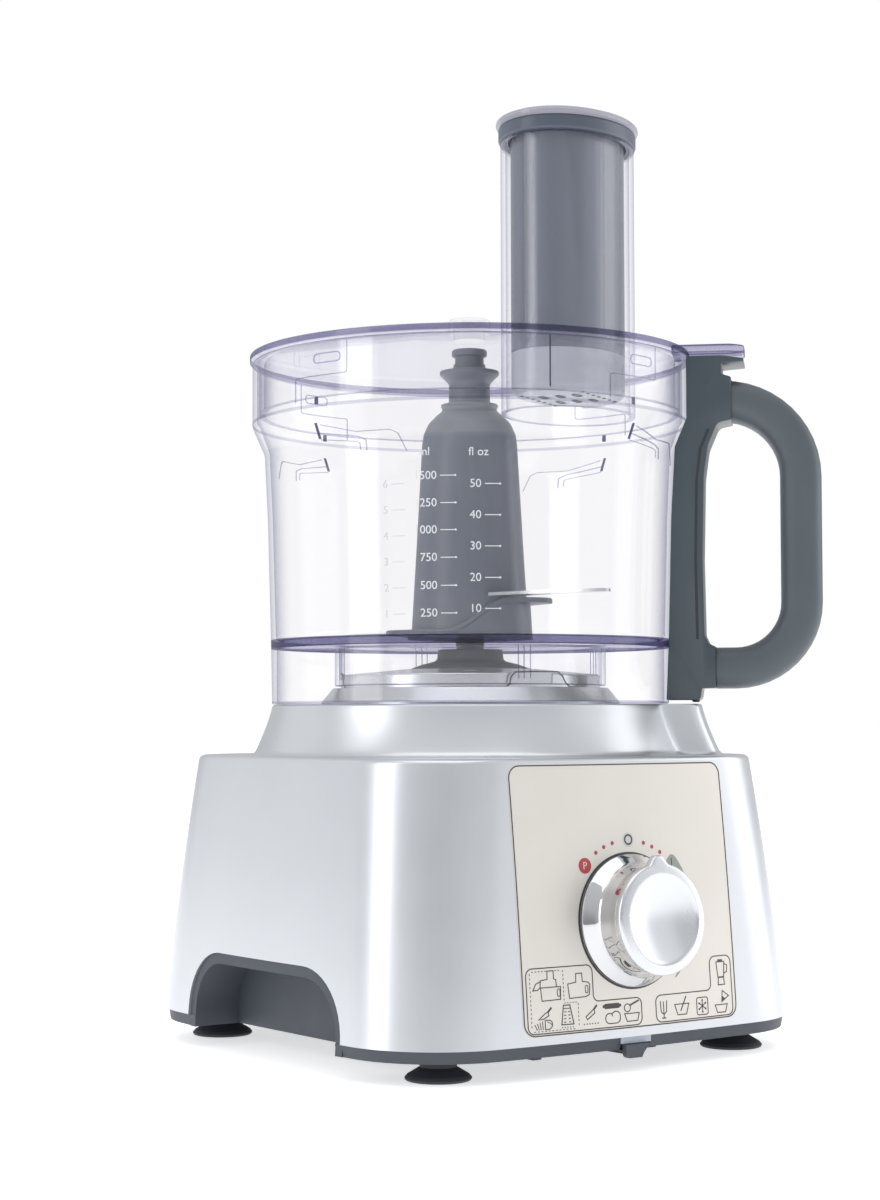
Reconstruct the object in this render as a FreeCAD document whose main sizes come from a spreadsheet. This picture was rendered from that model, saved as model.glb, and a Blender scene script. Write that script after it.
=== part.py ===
import FreeCAD, Part
import math
import os
import re

import Sketcher
from FreeCAD import Rotation, Vector

# Food processor: a square motor base, a clear bowl with a side handle, a clear lid with a feed
# tube and pusher, a knife on a drive post, and the belt drive inside the base.
# Millimetres, +Z up. Every profile is drawn about the bowl's own axis, and axis_x and axis_y
# move each sub-part so that the origin is at the middle of the whole object's footprint.

SIZES = {
    "axis_x": -0.8,
    "axis_y": 8.8,
    "gap": 0.3,
    "snug": 0.05,
    # small steps and roundings that several pieces share
    "edge": 1.0,
    "fine_edge": 0.5,
    "key_edge": 0.4,
    "small_step": 0.6,
    "soft_edge": 1.4,
    "ledge": 2.0,
    "nub_back": 1.5,
    "washer": 1.6,
    "nub_reach": 1.8,
    "inset": 3.0,
    "slant": 4.0,
    "lap": 6.0,
    "tab_side": 7.0,
    "tab_round": 4.2,
    "hook_round": 9.0,
    "rim_round": 1.2,
    "crown_round": 500.0,
    "nub_half": 1.1,
    # base: three levels of a square outline with bowed sides and round corners
    "base_low_level": 14.1,
    "base_mid_level": 71.0,
    "base_deck_level": 127.5,
    "base_low_half": 111.2,
    "base_mid_half": 106.6,
    "base_deck_half": 100.9,
    "base_corner": 41.3,
    "base_bow": 2.6,
    "base_wall": 2.8,
    "deck_edge": 2.2,
    "face_tilt": 5.05,
    # neck that carries the bowl
    "neck_foot_radius": 97.2,
    "neck_low_radius": 95.8,
    "neck_low_level": 130.7,
    "neck_mid_radius": 92.2,
    "neck_mid_level": 139.2,
    "neck_radius": 88.9,
    "neck_level": 149.7,
    "neck_curve": 14.0,
    "neck_wall": 3.0,
    "neck_hole": 33.0,
    "lug_reach": 86.0,
    "lug_low_radius": 25.5,
    "lug_radius": 18.0,
    "post_radius": 5.0,
    "post_core": 2.1,
    "post_x": 52.0,
    "post_y": 88.0,
    # tray, side grips and trim
    "tray_level": 9.1,
    "tray_rim_level": 14.0,
    "tray_floor": 2.4,
    "tray_step": 1.0,
    "tray_draft": 0.6,
    "tray_wall": 3.6,
    "arch_front": 62.6,
    "arch_rear": 57.7,
    "arch_level": 42.8,
    "arch_front_round": 29.0,
    "arch_rear_round": 24.7,
    "arch_trim": 4.7,
    "arch_fit": 0.15,
    "pocket_reach": 89.0,
    "pocket_wall": 2.6,
    # control panel
    "panel_left": 57.5,
    "panel_right": 57.0,
    "panel_low": 17.0,
    "panel_high": 125.1,
    "panel_round": 5.5,
    "panel_thick": 1.1,
    "panel_proud": 0.15,
    # bowl seat
    "seat_radius": 67.0,
    "seat_step_radius": 61.8,
    "seat_step_level": 157.0,
    "seat_boss_radius": 58.2,
    "seat_boss_level": 163.0,
    "seat_top_radius": 30.0,
    "seat_top_level": 165.5,
    "seat_bore": 14.0,
    "seat_notch_depth": 2.2,
    "seat_notch_width": 26.0,
    "seat_notch_low": 158.5,
    "seat_turn": 18.0,
    # feet and load cells
    "foot_x": 79.0,
    "foot_y": 84.0,
    "foot_radius": 13.5,
    "foot_rim": 2.4,
    "foot_neck": 7.5,
    "foot_neck_level": 5.4,
    "foot_pin": 3.0,
    "cell_length": 30.0,
    "cell_width": 10.0,
    "cell_thick": 3.0,
    # speed control, measured along the normal of the sloping front
    "dial_level": 60.8,
    "dial_face": 109.95,
    "dial_foot_radius": 27.0,
    "dial_foot_high": 3.2,
    "dial_waist_radius": 21.6,
    "dial_waist_high": 12.5,
    "dial_cap_radius": 22.6,
    "dial_cap_low": 16.0,
    "dial_cap_high": 20.4,
    "dial_dish_radius": 18.7,
    "dial_dish_deep": 1.3,
    "dial_wall": 2.2,
    "dial_shaft_radius": 3.0,
    "dial_shaft_back": 14.5,
    "dial_hole": 4.0,
    "switch_side": 24.0,
    "switch_front": 4.8,
    "switch_deep": 10.5,
    "board_wide": 92.0,
    "board_high": 62.0,
    "board_thick": 1.6,
    # slide-out display
    "display_wide": 62.0,
    "display_front": 87.0,
    "display_back": 36.0,
    "display_low": 5.3,
    "display_thick": 3.4,
    "display_rail": 2.2,
    "tab_left": 7.5,
    "tab_right": 5.0,
    "tab_low": 5.7,
    "tab_high": 11.1,
    "tab_front": 115.3,
    "tab_thick": 2.4,
    "tab_stem": 1.5,
    "label_left": 8.3,
    "label_right": 7.7,
    "label_low": 11.4,
    "label_front": 113.0,
    "label_deep": 3.0,
    "window_y": 73.0,
    "window_wide": 30.0,
    "window_deep": 15.0,
    "window_thick": 1.2,
    "key_x": 23.0,
    "key_radius": 4.2,
    "key_high": 1.4,
    "key_travel": 0.8,
    # cord gland in the rear wall
    "gland_x": 42.0,
    "gland_level": 32.0,
    "gland_face": 112.2,
    "gland_flange": 9.0,
    "gland_neck": 6.0,
    "gland_bore": 3.7,
    # motor and belt drive
    "motor_x": 44.0,
    "motor_y": 42.0,
    "stator_side": 62.0,
    "stator_bore": 24.0,
    "stator_low": 57.0,
    "stator_high": 89.0,
    "coil_inner": 24.6,
    "coil_outer": 30.0,
    "coil_high": 7.6,
    "armature_radius": 23.2,
    "armature_slot": 3.0,
    "armature_slot_deep": 6.0,
    "commutator_radius": 10.0,
    "commutator_low": 99.0,
    "commutator_high": 109.0,
    "brush_long": 16.0,
    "brush_wide": 7.0,
    "fan_radius": 27.0,
    "fan_low": 40.5,
    "fan_high": 47.5,
    "fan_blade": 1.6,
    "fan_hub": 9.0,
    "frame_low": 34.0,
    "frame_high": 111.5,
    "frame_thick": 3.0,
    "frame_side": 64.0,
    "rotor_bearing": 9.0,
    "rotor_shaft": 4.0,
    "rotor_shaft_low": 18.0,
    "rotor_shaft_high": 116.5,
    "tie_radius": 2.0,
    "tie_offset": 27.5,
    "tie_low": 32.0,
    "tie_high": 115.5,
    "pulley_low": 20.0,
    "pulley_high": 31.0,
    "pulley_flange": 1.5,
    "motor_pulley_radius": 8.0,
    "driven_pulley_radius": 38.0,
    "pulley_lip": 2.4,
    "belt_thick": 1.8,
    # spindle
    "spindle_radius": 5.0,
    "spindle_low": 18.0,
    "spindle_high": 186.0,
    "spindle_bearing": 11.0,
    "bearing_high": 9.0,
    "tube_radius": 14.5,
    "tube_low": 60.0,
    "tube_flange": 36.0,
    "tube_flange_thick": 3.0,
    "coupling_radius": 12.0,
    "coupling_low": 156.0,
    "coupling_high": 171.0,
    "spline_wide": 3.0,
    # bowl
    "bowl_foot_level": 150.0,
    "bowl_foot_radius": 89.0,
    "bowl_floor_radius": 89.6,
    "bowl_floor_low": 175.3,
    "bowl_floor": 178.0,
    "bowl_mid_radius": 91.0,
    "bowl_mid_level": 232.0,
    "bowl_flare_radius": 92.5,
    "bowl_flare_level": 262.0,
    "bowl_ledge_level": 275.0,
    "bowl_collar_radius": 98.0,
    "bowl_collar_level": 303.0,
    "bowl_wall": 2.2,
    "bowl_corner": 3.0,
    "skirt_radius": 61.0,
    "skirt_wall": 1.9,
    "skirt_level": 158.0,
    "chimney_radius": 15.2,
    "chimney_wall": 1.8,
    "chimney_level": 236.0,
    # handle, drawn in its own upright plane
    "handle_turn": -45.0,
    "bracket_low": 151.4,
    "bracket_out": 104.6,
    "bracket_waist_level": 255.0,
    "bracket_shoulder": 113.2,
    "bracket_shoulder_level": 275.0,
    "bracket_top": 303.2,
    "bracket_wide": 24.0,
    "shelf_out": 123.5,
    "shelf_level": 300.6,
    "shelf_thick": 2.6,
    "shelf_notch": 296.0,
    "joint_top_out": 118.2,
    "joint_low_out": 110.6,
    "grip_low_level": 165.6,
    "grip_out": 147.7,
    "grip_low_round": 30.0,
    "grip_low_bend": 195.6,
    "grip_top_round": 35.0,
    "grip_top_bend": 250.0,
    "grip_top_level": 284.6,
    "grip_thick": 18.2,
    "grip_wide": 22.0,
    "rod_reach": 101.2,
    "rod_radius": 1.8,
    "rod_low": 150.5,
    "rod_high": 302.6,
    "rod_travel": 3.0,
    # knife and drive post
    "hub_low": 178.8,
    "hub_foot_radius": 26.6,
    "hub_mid_radius": 24.0,
    "hub_mid_level": 222.0,
    "hub_top_radius": 21.4,
    "hub_top_level": 273.0,
    "hub_dome_radius": 14.4,
    "hub_dome_level": 284.0,
    "hub_rim_level": 286.0,
    "hub_neck_radius": 9.3,
    "hub_flange_low": 296.6,
    "hub_flange_radius": 13.6,
    "hub_flange_high": 300.6,
    "hub_high": 303.5,
    "hub_bore": 17.8,
    "hub_bore_high": 240.0,
    "post_out": 6.6,
    "post_high": 312.6,
    "post_low": 172.6,
    "post_socket": 5.4,
    "post_socket_high": 188.0,
    "pin_radius": 2.5,
    "pin_high": 321.0,
    "blade_thick": 1.4,
    "lower_blade_level": 182.0,
    "upper_blade_level": 197.4,
    "blade_reach": 81.0,
    "blade_root": 27.5,
    "blade_root_wide": 15.0,
    "blade_tip_wide": 5.0,
    "blade_sweep": 16.0,
    "lower_blade_turn": 85.0,
    "upper_blade_turn": 265.0,
    # lid with its feed tube
    "lid_radius": 99.2,
    "lid_low": 303.3,
    "lid_rim_level": 306.4,
    "lid_skirt_radius": 95.0,
    "lid_skirt_low": 279.5,
    "lid_wall": 2.2,
    "lid_crown_radius": 24.0,
    "lid_crown_level": 316.5,
    "lid_boss_radius": 9.5,
    "lid_boss_level": 324.0,
    "lid_bore": 2.9,
    "lid_bore_high": 322.0,
    "lid_tab_out": 123.8,
    "lid_tab_wide": 26.0,
    "lid_tab_level": 308.2,
    "lid_tab_low": 304.2,
    "tube_x": 22.5,
    "tube_y": 43.5,
    "tube_turn": 27.0,
    "tube_major": 37.7,
    "tube_minor": 27.8,
    "tube_wall": 2.2,
    "tube_end": 277.0,
    "tube_high": 397.0,
    # pusher
    "pusher_major": 33.2,
    "pusher_minor": 23.3,
    "pusher_wall": 2.0,
    "pusher_low": 285.0,
    "collar_major": 38.6,
    "collar_minor": 28.7,
    "collar_low": 397.3,
    "collar_high": 404.0,
    "cap_major": 41.6,
    "cap_minor": 31.7,
    "cap_high": 407.0,
    "dome_major": 34.0,
    "dome_minor": 24.0,
    "dome_high": 410.0,
}

WORD = re.compile(r"[a-z][a-z0-9_]*")

doc = FreeCAD.newDocument("food_processor")
sheet = doc.addObject("Spreadsheet::Sheet", "sizes")
for row, (alias, size) in enumerate(SIZES.items(), 1):
    sheet.set("A%d" % row, alias.replace("_", " "))
    sheet.set("B%d" % row, str(size))
    sheet.setAlias("B%d" % row, alias)
doc.recompute()

nodes = []


def in_sheet(text):
    """The same formula with each size written as a reference to its cell."""
    return WORD.sub(lambda word: "sizes." + word[0] if word[0] in SIZES else word[0], text)


def value(text):
    """What a formula of sizes comes to, in millimetres."""
    return float(sheet.evalExpression(in_sheet(text)))


def bind(thing, path, text):
    thing.setExpression(path, in_sheet(text))


def node(thing, name):
    """Name a finished sub-part."""
    thing.Label = name
    nodes.append(thing)
    return thing


def stand(thing, x="0", y="0", z="0", turn=None, axis=Vector(0, 0, 1)):
    """Stand a sub-part at a point measured from the bowl's axis, turned about its own origin."""
    bind(thing, ".Placement.Base.x", "axis_x + " + x)
    bind(thing, ".Placement.Base.y", "axis_y + " + y)
    bind(thing, ".Placement.Base.z", z)
    if turn is not None:
        thing.Placement = FreeCAD.Placement(Vector(0, 0, 0), Rotation(axis, value(turn)))
        bind(thing, ".Placement.Rotation.Angle", turn)
    return thing


# ---------------------------------------------------------------- sketches and bodies

def new_body(name):
    body = doc.addObject("PartDesign::Body", name)
    return body


def new_sketch(body, name, plane="XY_Plane", offset="0", tilt=None):
    """A sketch on one of the body's origin planes, moved along its normal and perhaps tilted."""
    sketch = body.newObject("Sketcher::SketchObject", name)
    support = [item for item in body.Origin.OriginFeatures if item.Role == plane][0]
    sketch.AttachmentSupport = (support, [""])
    sketch.MapMode = "FlatFace"
    if tilt is not None:
        turned_plane = FreeCAD.Placement(Vector(0, 0, 0), Rotation(Vector(1, 0, 0), value(tilt)))
        sketch.AttachmentOffset = turned_plane
        bind(sketch, ".AttachmentOffset.Rotation.Angle", tilt)
    bind(sketch, ".AttachmentOffset.Base.z", offset)
    return sketch


def fix(sketch, kind, where, text):
    """One dimension of a sketch, tied to a formula of sizes."""
    index = sketch.addConstraint(Sketcher.Constraint(kind, *where, value(text)))
    bind(sketch, "Constraints[%d]" % index, text)


def arc_middle(start, end, radius):
    """The middle of an arc: a positive radius turns left from start to end, a negative right."""
    chord = end - start
    left = Vector(-chord.y, chord.x, 0).normalize()
    rise = abs(radius) - math.sqrt(radius ** 2 - (chord.Length / 2) ** 2)
    return (start + end) * 0.5 - left * math.copysign(rise, radius)


def outline(sketch, points, closed=True):
    """Edges through points (x, y) or (x, y, radius), where a radius bends the edge that ends there."""
    spots = [Vector(value(point[0]), value(point[1]), 0) for point in points]
    first = 0 if closed else 1
    before = None
    opening = None
    for number in range(first, len(points)):
        start, end = spots[number - 1], spots[number]
        if len(points[number]) == 3:
            middle = arc_middle(start, end, value(points[number][2]))
            edge = sketch.addGeometry(Part.Arc(start, middle, end), False)
            fix(sketch, "Radius", (edge,), "abs(%s)" % points[number][2])
        else:
            edge = sketch.addGeometry(Part.LineSegment(start, end), False)
        tail = 1 if sketch.getPoint(edge, 1).distanceToPoint(start) < 1e-4 else 2
        head = 3 - tail
        fix(sketch, "DistanceX", (edge, head), points[number][0])
        fix(sketch, "DistanceY", (edge, head), points[number][1])
        if before is None:
            opening = (edge, tail)
        else:
            sketch.addConstraint(Sketcher.Constraint("Coincident", *before, edge, tail))
        before = (edge, head)
    if closed:
        sketch.addConstraint(Sketcher.Constraint("Coincident", *before, *opening))
    else:
        fix(sketch, "DistanceX", opening, points[0][0])
        fix(sketch, "DistanceY", opening, points[0][1])


def circle(sketch, x, y, radius):
    middle = Vector(value(x), value(y), 0)
    edge = sketch.addGeometry(Part.Circle(middle, Vector(0, 0, 1), value(radius)), False)
    fix(sketch, "Radius", (edge,), radius)
    fix(sketch, "DistanceX", (edge, 3), x)
    fix(sketch, "DistanceY", (edge, 3), y)


def rectangle(sketch, left, low, right, high):
    outline(sketch, [(left, low), (right, low), (right, high), (left, high)])


def round_rectangle(sketch, left, low, right, high, radius):
    """A rectangle with round corners, from its four sides and one radius."""
    outline(sketch, [
        (left + " + " + radius, low, radius),
        (right + " - " + radius, low),
        (right, low + " + " + radius, radius),
        (right, high + " - " + radius),
        (right + " - " + radius, high, radius),
        (left + " + " + radius, high),
        (left, high + " - " + radius, radius),
        (left, low + " + " + radius),
    ])


def turn_feature(body, kind, name, points):
    """A Revolution or a Groove of a profile given as (radius, height) points."""
    sketch = new_sketch(body, name + "_profile", "XZ_Plane")
    outline(sketch, points)
    feature = body.newObject("PartDesign::" + kind, name)
    feature.Profile = sketch
    feature.ReferenceAxis = (sketch, ["V_Axis"])
    feature.Angle = 360
    sketch.Visibility = False
    return feature


def pad(body, sketch, length, reverse=False, both=False):
    feature = body.newObject("PartDesign::Pad", sketch.Name + "_pad")
    feature.Profile = sketch
    bind(feature, "Length", length)
    feature.Reversed = reverse
    feature.Midplane = both
    return feature


def pocket(body, sketch, length=None, reverse=False, both=False):
    feature = body.newObject("PartDesign::Pocket", sketch.Name + "_pocket")
    feature.Profile = sketch
    if length is None:
        feature.Type = "ThroughAll"
    else:
        bind(feature, "Length", length)
    feature.Reversed = reverse
    feature.Midplane = both
    return feature


def repeat(body, feature, count):
    """Copies of a feature round the body's upright axis."""
    pattern = body.newObject("PartDesign::PolarPattern", feature.Name + "_round")
    pattern.Originals = [feature]
    axis = [item for item in body.Origin.OriginFeatures if item.Role == "Z_Axis"][0]
    pattern.Axis = (axis, [""])
    pattern.Angle = 360
    pattern.Occurrences = count
    body.Tip = pattern
    return pattern


def turned(name, points):
    """A turned piece in a body of its own."""
    body = new_body(name)
    turn_feature(body, "Revolution", name + "_turn", points)
    return body


def boolean(kind, name, base, tool):
    thing = doc.addObject("Part::" + kind, name)
    thing.Base = base
    thing.Tool = tool
    return thing


def compound(name, parts):
    thing = doc.addObject("Part::Compound", name)
    thing.Links = parts
    return thing


def cylinder(name, radius, height, x="0", y="0", z="0"):
    thing = doc.addObject("Part::Cylinder", name)
    bind(thing, "Radius", radius)
    bind(thing, "Height", height)
    bind(thing, ".Placement.Base.x", x)
    bind(thing, ".Placement.Base.y", y)
    bind(thing, ".Placement.Base.z", z)
    return thing


def block(name, low, high):
    """A box between two corners, each given as three formulas."""
    thing = doc.addObject("Part::Box", name)
    for side, near, far, axis in zip(("Length", "Width", "Height"), low, high, "xyz"):
        bind(thing, side, "(%s) - (%s)" % (far, near))
        bind(thing, ".Placement.Base." + axis, near)
    return thing


# ---------------------------------------------------------------- base casing

def square_outline(sketch, half, offset="0"):
    """Four bowed sides and four round corners, tangent where they meet."""
    outer = "(%s + %s)" % (half, offset)
    inner = "(%s - base_corner)" % half
    bend = "(2 * atan(base_bow / %s))" % inner
    side = "((%s ^ 2 + base_bow ^ 2) / (2 * base_bow))" % inner
    corner = "((%s - %s) / (sqrt(2) * sin(45 * 1 deg - %s)))" % (outer, inner, bend)
    minus_outer, minus_inner = "-" + outer, "-" + inner
    outline(sketch, [
        (outer, minus_inner, corner),
        (outer, inner, side),
        (inner, outer, corner),
        (minus_inner, outer, side),
        (minus_outer, inner, corner),
        (minus_outer, minus_inner, side),
        (minus_inner, minus_outer, corner),
        (inner, minus_outer, side),
    ])


def casing_loft(body, kind, name, levels, offset):
    """A loft through square outlines given as (height, half width)."""
    sketches = []
    for number, (level, half) in enumerate(levels):
        sketch = new_sketch(body, "%s_level_%d" % (name, number), offset=level)
        square_outline(sketch, half, offset)
        sketches.append(sketch)
    feature = body.newObject("PartDesign::" + kind, name)
    feature.Profile = sketches[0]
    feature.Sections = sketches[1:]
    return feature


OUTER_LEVELS = [
    ("base_low_level", "base_low_half"),
    ("base_mid_level", "base_mid_half"),
    ("base_deck_level - deck_edge", "base_deck_half"),
]
EDGE_LEVELS = [
    ("base_deck_level - deck_edge", "base_deck_half"),
    ("base_deck_level - deck_edge * 0.38", "base_deck_half - deck_edge * 0.22"),
    ("base_deck_level - deck_edge * 0.08", "base_deck_half - deck_edge * 0.60"),
    ("base_deck_level", "base_deck_half - deck_edge"),
]
INNER_LEVELS = [
    ("base_low_level - base_wall", "base_low_half"),
    ("base_mid_level", "base_mid_half"),
    ("base_deck_level - base_wall", "base_deck_half"),
]


def arch_outline(sketch, inset):
    """The side grip's arch, seen from the side, with its foot below the tray."""
    front = "-(arch_front - %s)" % inset
    rear = "(arch_rear - %s)" % inset
    top = "(arch_level - %s)" % inset
    front_round = "(arch_front_round - %s)" % inset
    rear_round = "(arch_rear_round - %s)" % inset
    outline(sketch, [
        (front, "0"),
        (rear, "0"),
        (rear, "%s - %s" % (top, rear_round)),
        ("%s - %s" % (rear, rear_round), top, rear_round),
        ("%s + %s" % (front, front_round), top),
        (front, "%s - %s" % (top, front_round), front_round),
    ])


def panel_outline(sketch, grow="0"):
    """The control panel's face, in the sloping plane of the front, measured from the base's foot."""
    left = "-(panel_left + %s)" % grow
    right = "(panel_right + %s)" % grow
    low = "(panel_low - base_low_level - %s)" % grow
    high = "(panel_high - base_low_level + %s)" % grow
    round_rectangle(sketch, left, low, right, high, "(panel_round + %s)" % grow)


def front_plane(body, name, depth):
    """A sketch in the plane of the sloping front, depth behind it, with its origin at the foot."""
    sketch = new_sketch(body, name, "XZ_Plane", tilt="-face_tilt")
    bind(sketch, ".AttachmentOffset.Base.z", "base_low_half + base_bow - (%s)" % depth)
    bind(sketch, ".AttachmentOffset.Base.y", "base_low_level")
    return sketch


def base_housing():
    """The silver casing: sloping walls, deck, neck with its handle lug, and the openings."""
    body = new_body("housing_body")
    casing_loft(body, "AdditiveLoft", "housing_outer", OUTER_LEVELS, "0")
    casing_loft(body, "AdditiveLoft", "housing_edge", EDGE_LEVELS, "0").Ruled = True
    turn_feature(body, "Revolution", "neck", [
        ("0", "base_deck_level - 2 * base_wall"),
        ("neck_foot_radius", "base_deck_level - 2 * base_wall"),
        ("neck_foot_radius", "base_deck_level"),
        ("neck_low_radius", "neck_low_level", "-neck_curve"),
        ("neck_mid_radius", "neck_mid_level"),
        ("neck_radius", "neck_level"),
        ("0", "neck_level"),
    ])
    doc.recompute()
    lug = body.newObject("PartDesign::AdditiveCone", "handle_lug")
    lug.AttachmentSupport = (body.Origin.OriginFeatures[3], [""])
    lug.MapMode = "FlatFace"
    bind(lug, "Radius1", "lug_low_radius")
    bind(lug, "Radius2", "lug_radius")
    bind(lug, "Height", "neck_level - base_deck_level + base_wall")
    bind(lug, ".AttachmentOffset.Base.x", "lug_reach * cos(handle_turn * 1 deg)")
    bind(lug, ".AttachmentOffset.Base.y", "lug_reach * sin(handle_turn * 1 deg)")
    bind(lug, ".AttachmentOffset.Base.z", "base_deck_level - base_wall")
    casing_loft(body, "SubtractiveLoft", "housing_inner", INNER_LEVELS, "-base_wall")
    turn_feature(body, "Groove", "neck_hollow", [
        ("0", "base_low_level"),
        ("neck_radius - neck_wall", "base_low_level"),
        ("neck_radius - neck_wall", "neck_level - neck_wall"),
        ("0", "neck_level - neck_wall"),
    ])
    doc.recompute()
    posts = new_sketch(body, "posts", offset="tray_level + tray_floor + gap / 3")
    for side in "-", "":
        for end in "-", "":
            circle(posts, side + "post_x", end + "post_y", "post_radius")
    pad(body, posts, "base_deck_level - base_wall - tray_level - tray_floor")
    cores = new_sketch(body, "post_cores", offset="tray_level")
    for side in "-", "":
        for end in "-", "":
            circle(cores, side + "post_x", end + "post_y", "post_core")
    pocket(body, cores, "base_low_level + post_radius", reverse=True)
    holes = new_sketch(body, "spindle_hole", offset="neck_level")
    circle(holes, "0", "0", "neck_hole")
    pocket(body, holes, "2 * neck_wall")
    rod_hole = new_sketch(body, "rod_hole", offset="neck_level")
    reach = "rod_reach * %s(handle_turn * 1 deg)"
    circle(rod_hole, reach % "cos", reach % "sin", "rod_radius + gap")
    pocket(body, rod_hole, "3 * rod_travel")
    arches = new_sketch(body, "arches", "YZ_Plane")
    arch_outline(arches, "0")
    pocket(body, arches, both=True)
    shaft = front_plane(body, "dial_hole_sketch", "0")
    circle(shaft, "0", "(dial_level - base_low_level) / cos(face_tilt * 1 deg)", "dial_hole")
    pocket(body, shaft, "4 * base_wall")
    rear = new_sketch(body, "gland_hole", "XZ_Plane", offset="-base_low_half - base_bow")
    circle(rear, "gland_x", "gland_level", "gland_neck + gap")
    pocket(body, rear, "4 * base_wall", reverse=True)
    doc.recompute()
    recess = panel_plate("recess", "arch_fit", "base_wall", "-panel_thick")
    return stand(node(boolean("Cut", "housing_recessed", body, recess), "base_housing"))


def panel_plate(name, grow, front, back):
    """A plate with the panel's outline between two copies of the bowed front, front and back."""
    blank = new_body(name + "_blank")
    face = front_plane(blank, name + "_face", "2 * base_wall")
    panel_outline(face, grow)
    pad(blank, face, "4 * base_wall")
    outer = new_body(name + "_outer")
    casing_loft(outer, "AdditiveLoft", name + "_outer_loft", OUTER_LEVELS, front)
    inner = new_body(name + "_inner")
    casing_loft(inner, "AdditiveLoft", name + "_inner_loft", OUTER_LEVELS, back)
    sheet_front = boolean("Common", name + "_front", blank, outer)
    return boolean("Cut", name + "_plate", sheet_front, inner)


def control_panel():
    """The thin champagne plate that follows the bowed front."""
    plate = panel_plate("panel", "0", "panel_proud", "-panel_thick + snug")
    hole = new_body("panel_hole")
    shaft = front_plane(hole, "panel_hole_face", "2 * base_wall")
    circle(shaft, "0", "(dial_level - base_low_level) / cos(face_tilt * 1 deg)", "dial_hole")
    pad(hole, shaft, "4 * base_wall")
    return stand(node(boolean("Cut", "panel", plate, hole), "control_panel"))


def base_tray():
    """The dark floor with its skirt, the two side grips and their trim, and the display's rails."""
    skirt = new_body("tray_skirt")
    casing_loft(skirt, "AdditiveLoft", "skirt_loft", [
        ("tray_level", "base_low_half - tray_draft"),
        ("tray_rim_level", "base_low_half"),
    ], "-tray_step")
    inside = new_sketch(skirt, "tray_inside", offset="tray_rim_level")
    square_outline(inside, "base_low_half", "-tray_step - tray_wall")
    pocket(skirt, inside, "tray_rim_level - tray_level - tray_floor")
    rails = new_sketch(skirt, "display_rails", "XZ_Plane", offset="display_back - gap")
    low, high = "display_low - 2 * gap", "tray_level + gap"
    for side in ("-", ""):
        edge = side + "(display_wide / 2 + gap)"
        lip = side + "(display_wide / 2 - display_rail)"
        out = side + "(display_wide / 2 + display_rail)"
        foot = "display_low - gap - display_rail / 2"
        outline(rails, [
            (edge, high), (edge, "display_low - gap"), (lip, "display_low - gap"),
            (lip, foot), (out, foot), (out, high),
        ])
    pad(skirt, rails, "display_front - display_back")
    scoop = new_body("scoop_blank")
    arch = new_sketch(scoop, "scoop_arch", "YZ_Plane")
    arch_outline(arch, "arch_fit")
    pad(scoop, arch, "3 * base_low_half", both=True)
    middle = new_sketch(scoop, "scoop_middle", "XZ_Plane")
    reach = "pocket_reach - pocket_wall"
    rectangle(middle, "-(%s)" % reach, "-edge", reach, "2 * arch_level")
    pocket(scoop, middle, both=True)
    limit = new_body("scoop_limit")
    casing_loft(limit, "AdditiveLoft", "scoop_limit_loft", [
        ("tray_level", "base_low_half"),
        ("base_mid_level", "base_mid_half"),
        ("base_deck_level - deck_edge", "base_deck_half"),
    ], "-tray_step")
    trimmed = boolean("Common", "scoop_trimmed", scoop, limit)
    whole = boolean("Fuse", "tray_whole", skirt, trimmed)
    openings = new_body("grip_openings")
    hollow = new_sketch(openings, "grip_hollow", "YZ_Plane")
    arch_outline(hollow, "arch_trim")
    pad(openings, hollow, "3 * base_low_half", both=True)
    core = new_sketch(openings, "grip_core", "XZ_Plane")
    rectangle(core, "-pocket_reach", "-edge", "pocket_reach", "2 * arch_level")
    pocket(openings, core, both=True)
    opened = boolean("Cut", "tray_opened", whole, openings)
    holes = new_body("tray_holes")
    pins = new_sketch(holes, "tray_pins", offset="0")
    for side in "-", "":
        for end in "-", "":
            circle(pins, side + "foot_x", end + "foot_y", "foot_pin + gap")
            circle(pins, side + "post_x", end + "post_y", "post_core + gap")
    pad(holes, pins, "2 * base_low_level")
    heads = new_sketch(holes, "tray_heads", offset="0")
    for side in "-", "":
        for end in "-", "":
            circle(heads, side + "post_x", end + "post_y", "2 * post_core")
    pad(holes, heads, "tray_level + tray_floor - edge")
    slot = new_sketch(holes, "tab_slot", "XZ_Plane", offset="label_front - label_deep")
    rectangle(slot, "-label_left", "0", "label_right", "2 * base_low_level")
    pad(holes, slot, "label_front")
    return stand(node(boolean("Cut", "tray", opened, holes), "base_tray"))


def bowl_seat():
    """The raised ring on the neck that the bowl drops over, with three bayonet notches."""
    body = turned("seat", [
        ("seat_bore", "neck_level + snug"),
        ("seat_radius", "neck_level + snug"),
        ("seat_radius", "neck_level + edge"),
        ("seat_step_radius", "seat_step_level"),
        ("seat_boss_radius", "seat_step_level"),
        ("seat_boss_radius", "seat_boss_level - edge"),
        ("seat_boss_radius - edge", "seat_boss_level", "edge"),
        ("seat_top_radius", "seat_top_level"),
        ("seat_bore", "seat_top_level"),
    ])
    doc.recompute()
    notch = new_sketch(body, "seat_notch", offset="seat_notch_low")
    near = "seat_boss_radius - seat_notch_depth"
    rectangle(notch, near, "-seat_notch_width / 2", "seat_boss_radius + ledge", "seat_notch_width / 2")
    cut = pocket(body, notch, "seat_boss_level", reverse=True)
    doc.recompute()
    repeat(body, cut, 3)
    return stand(node(body, "bowl_seat"), turn="seat_turn")


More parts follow.
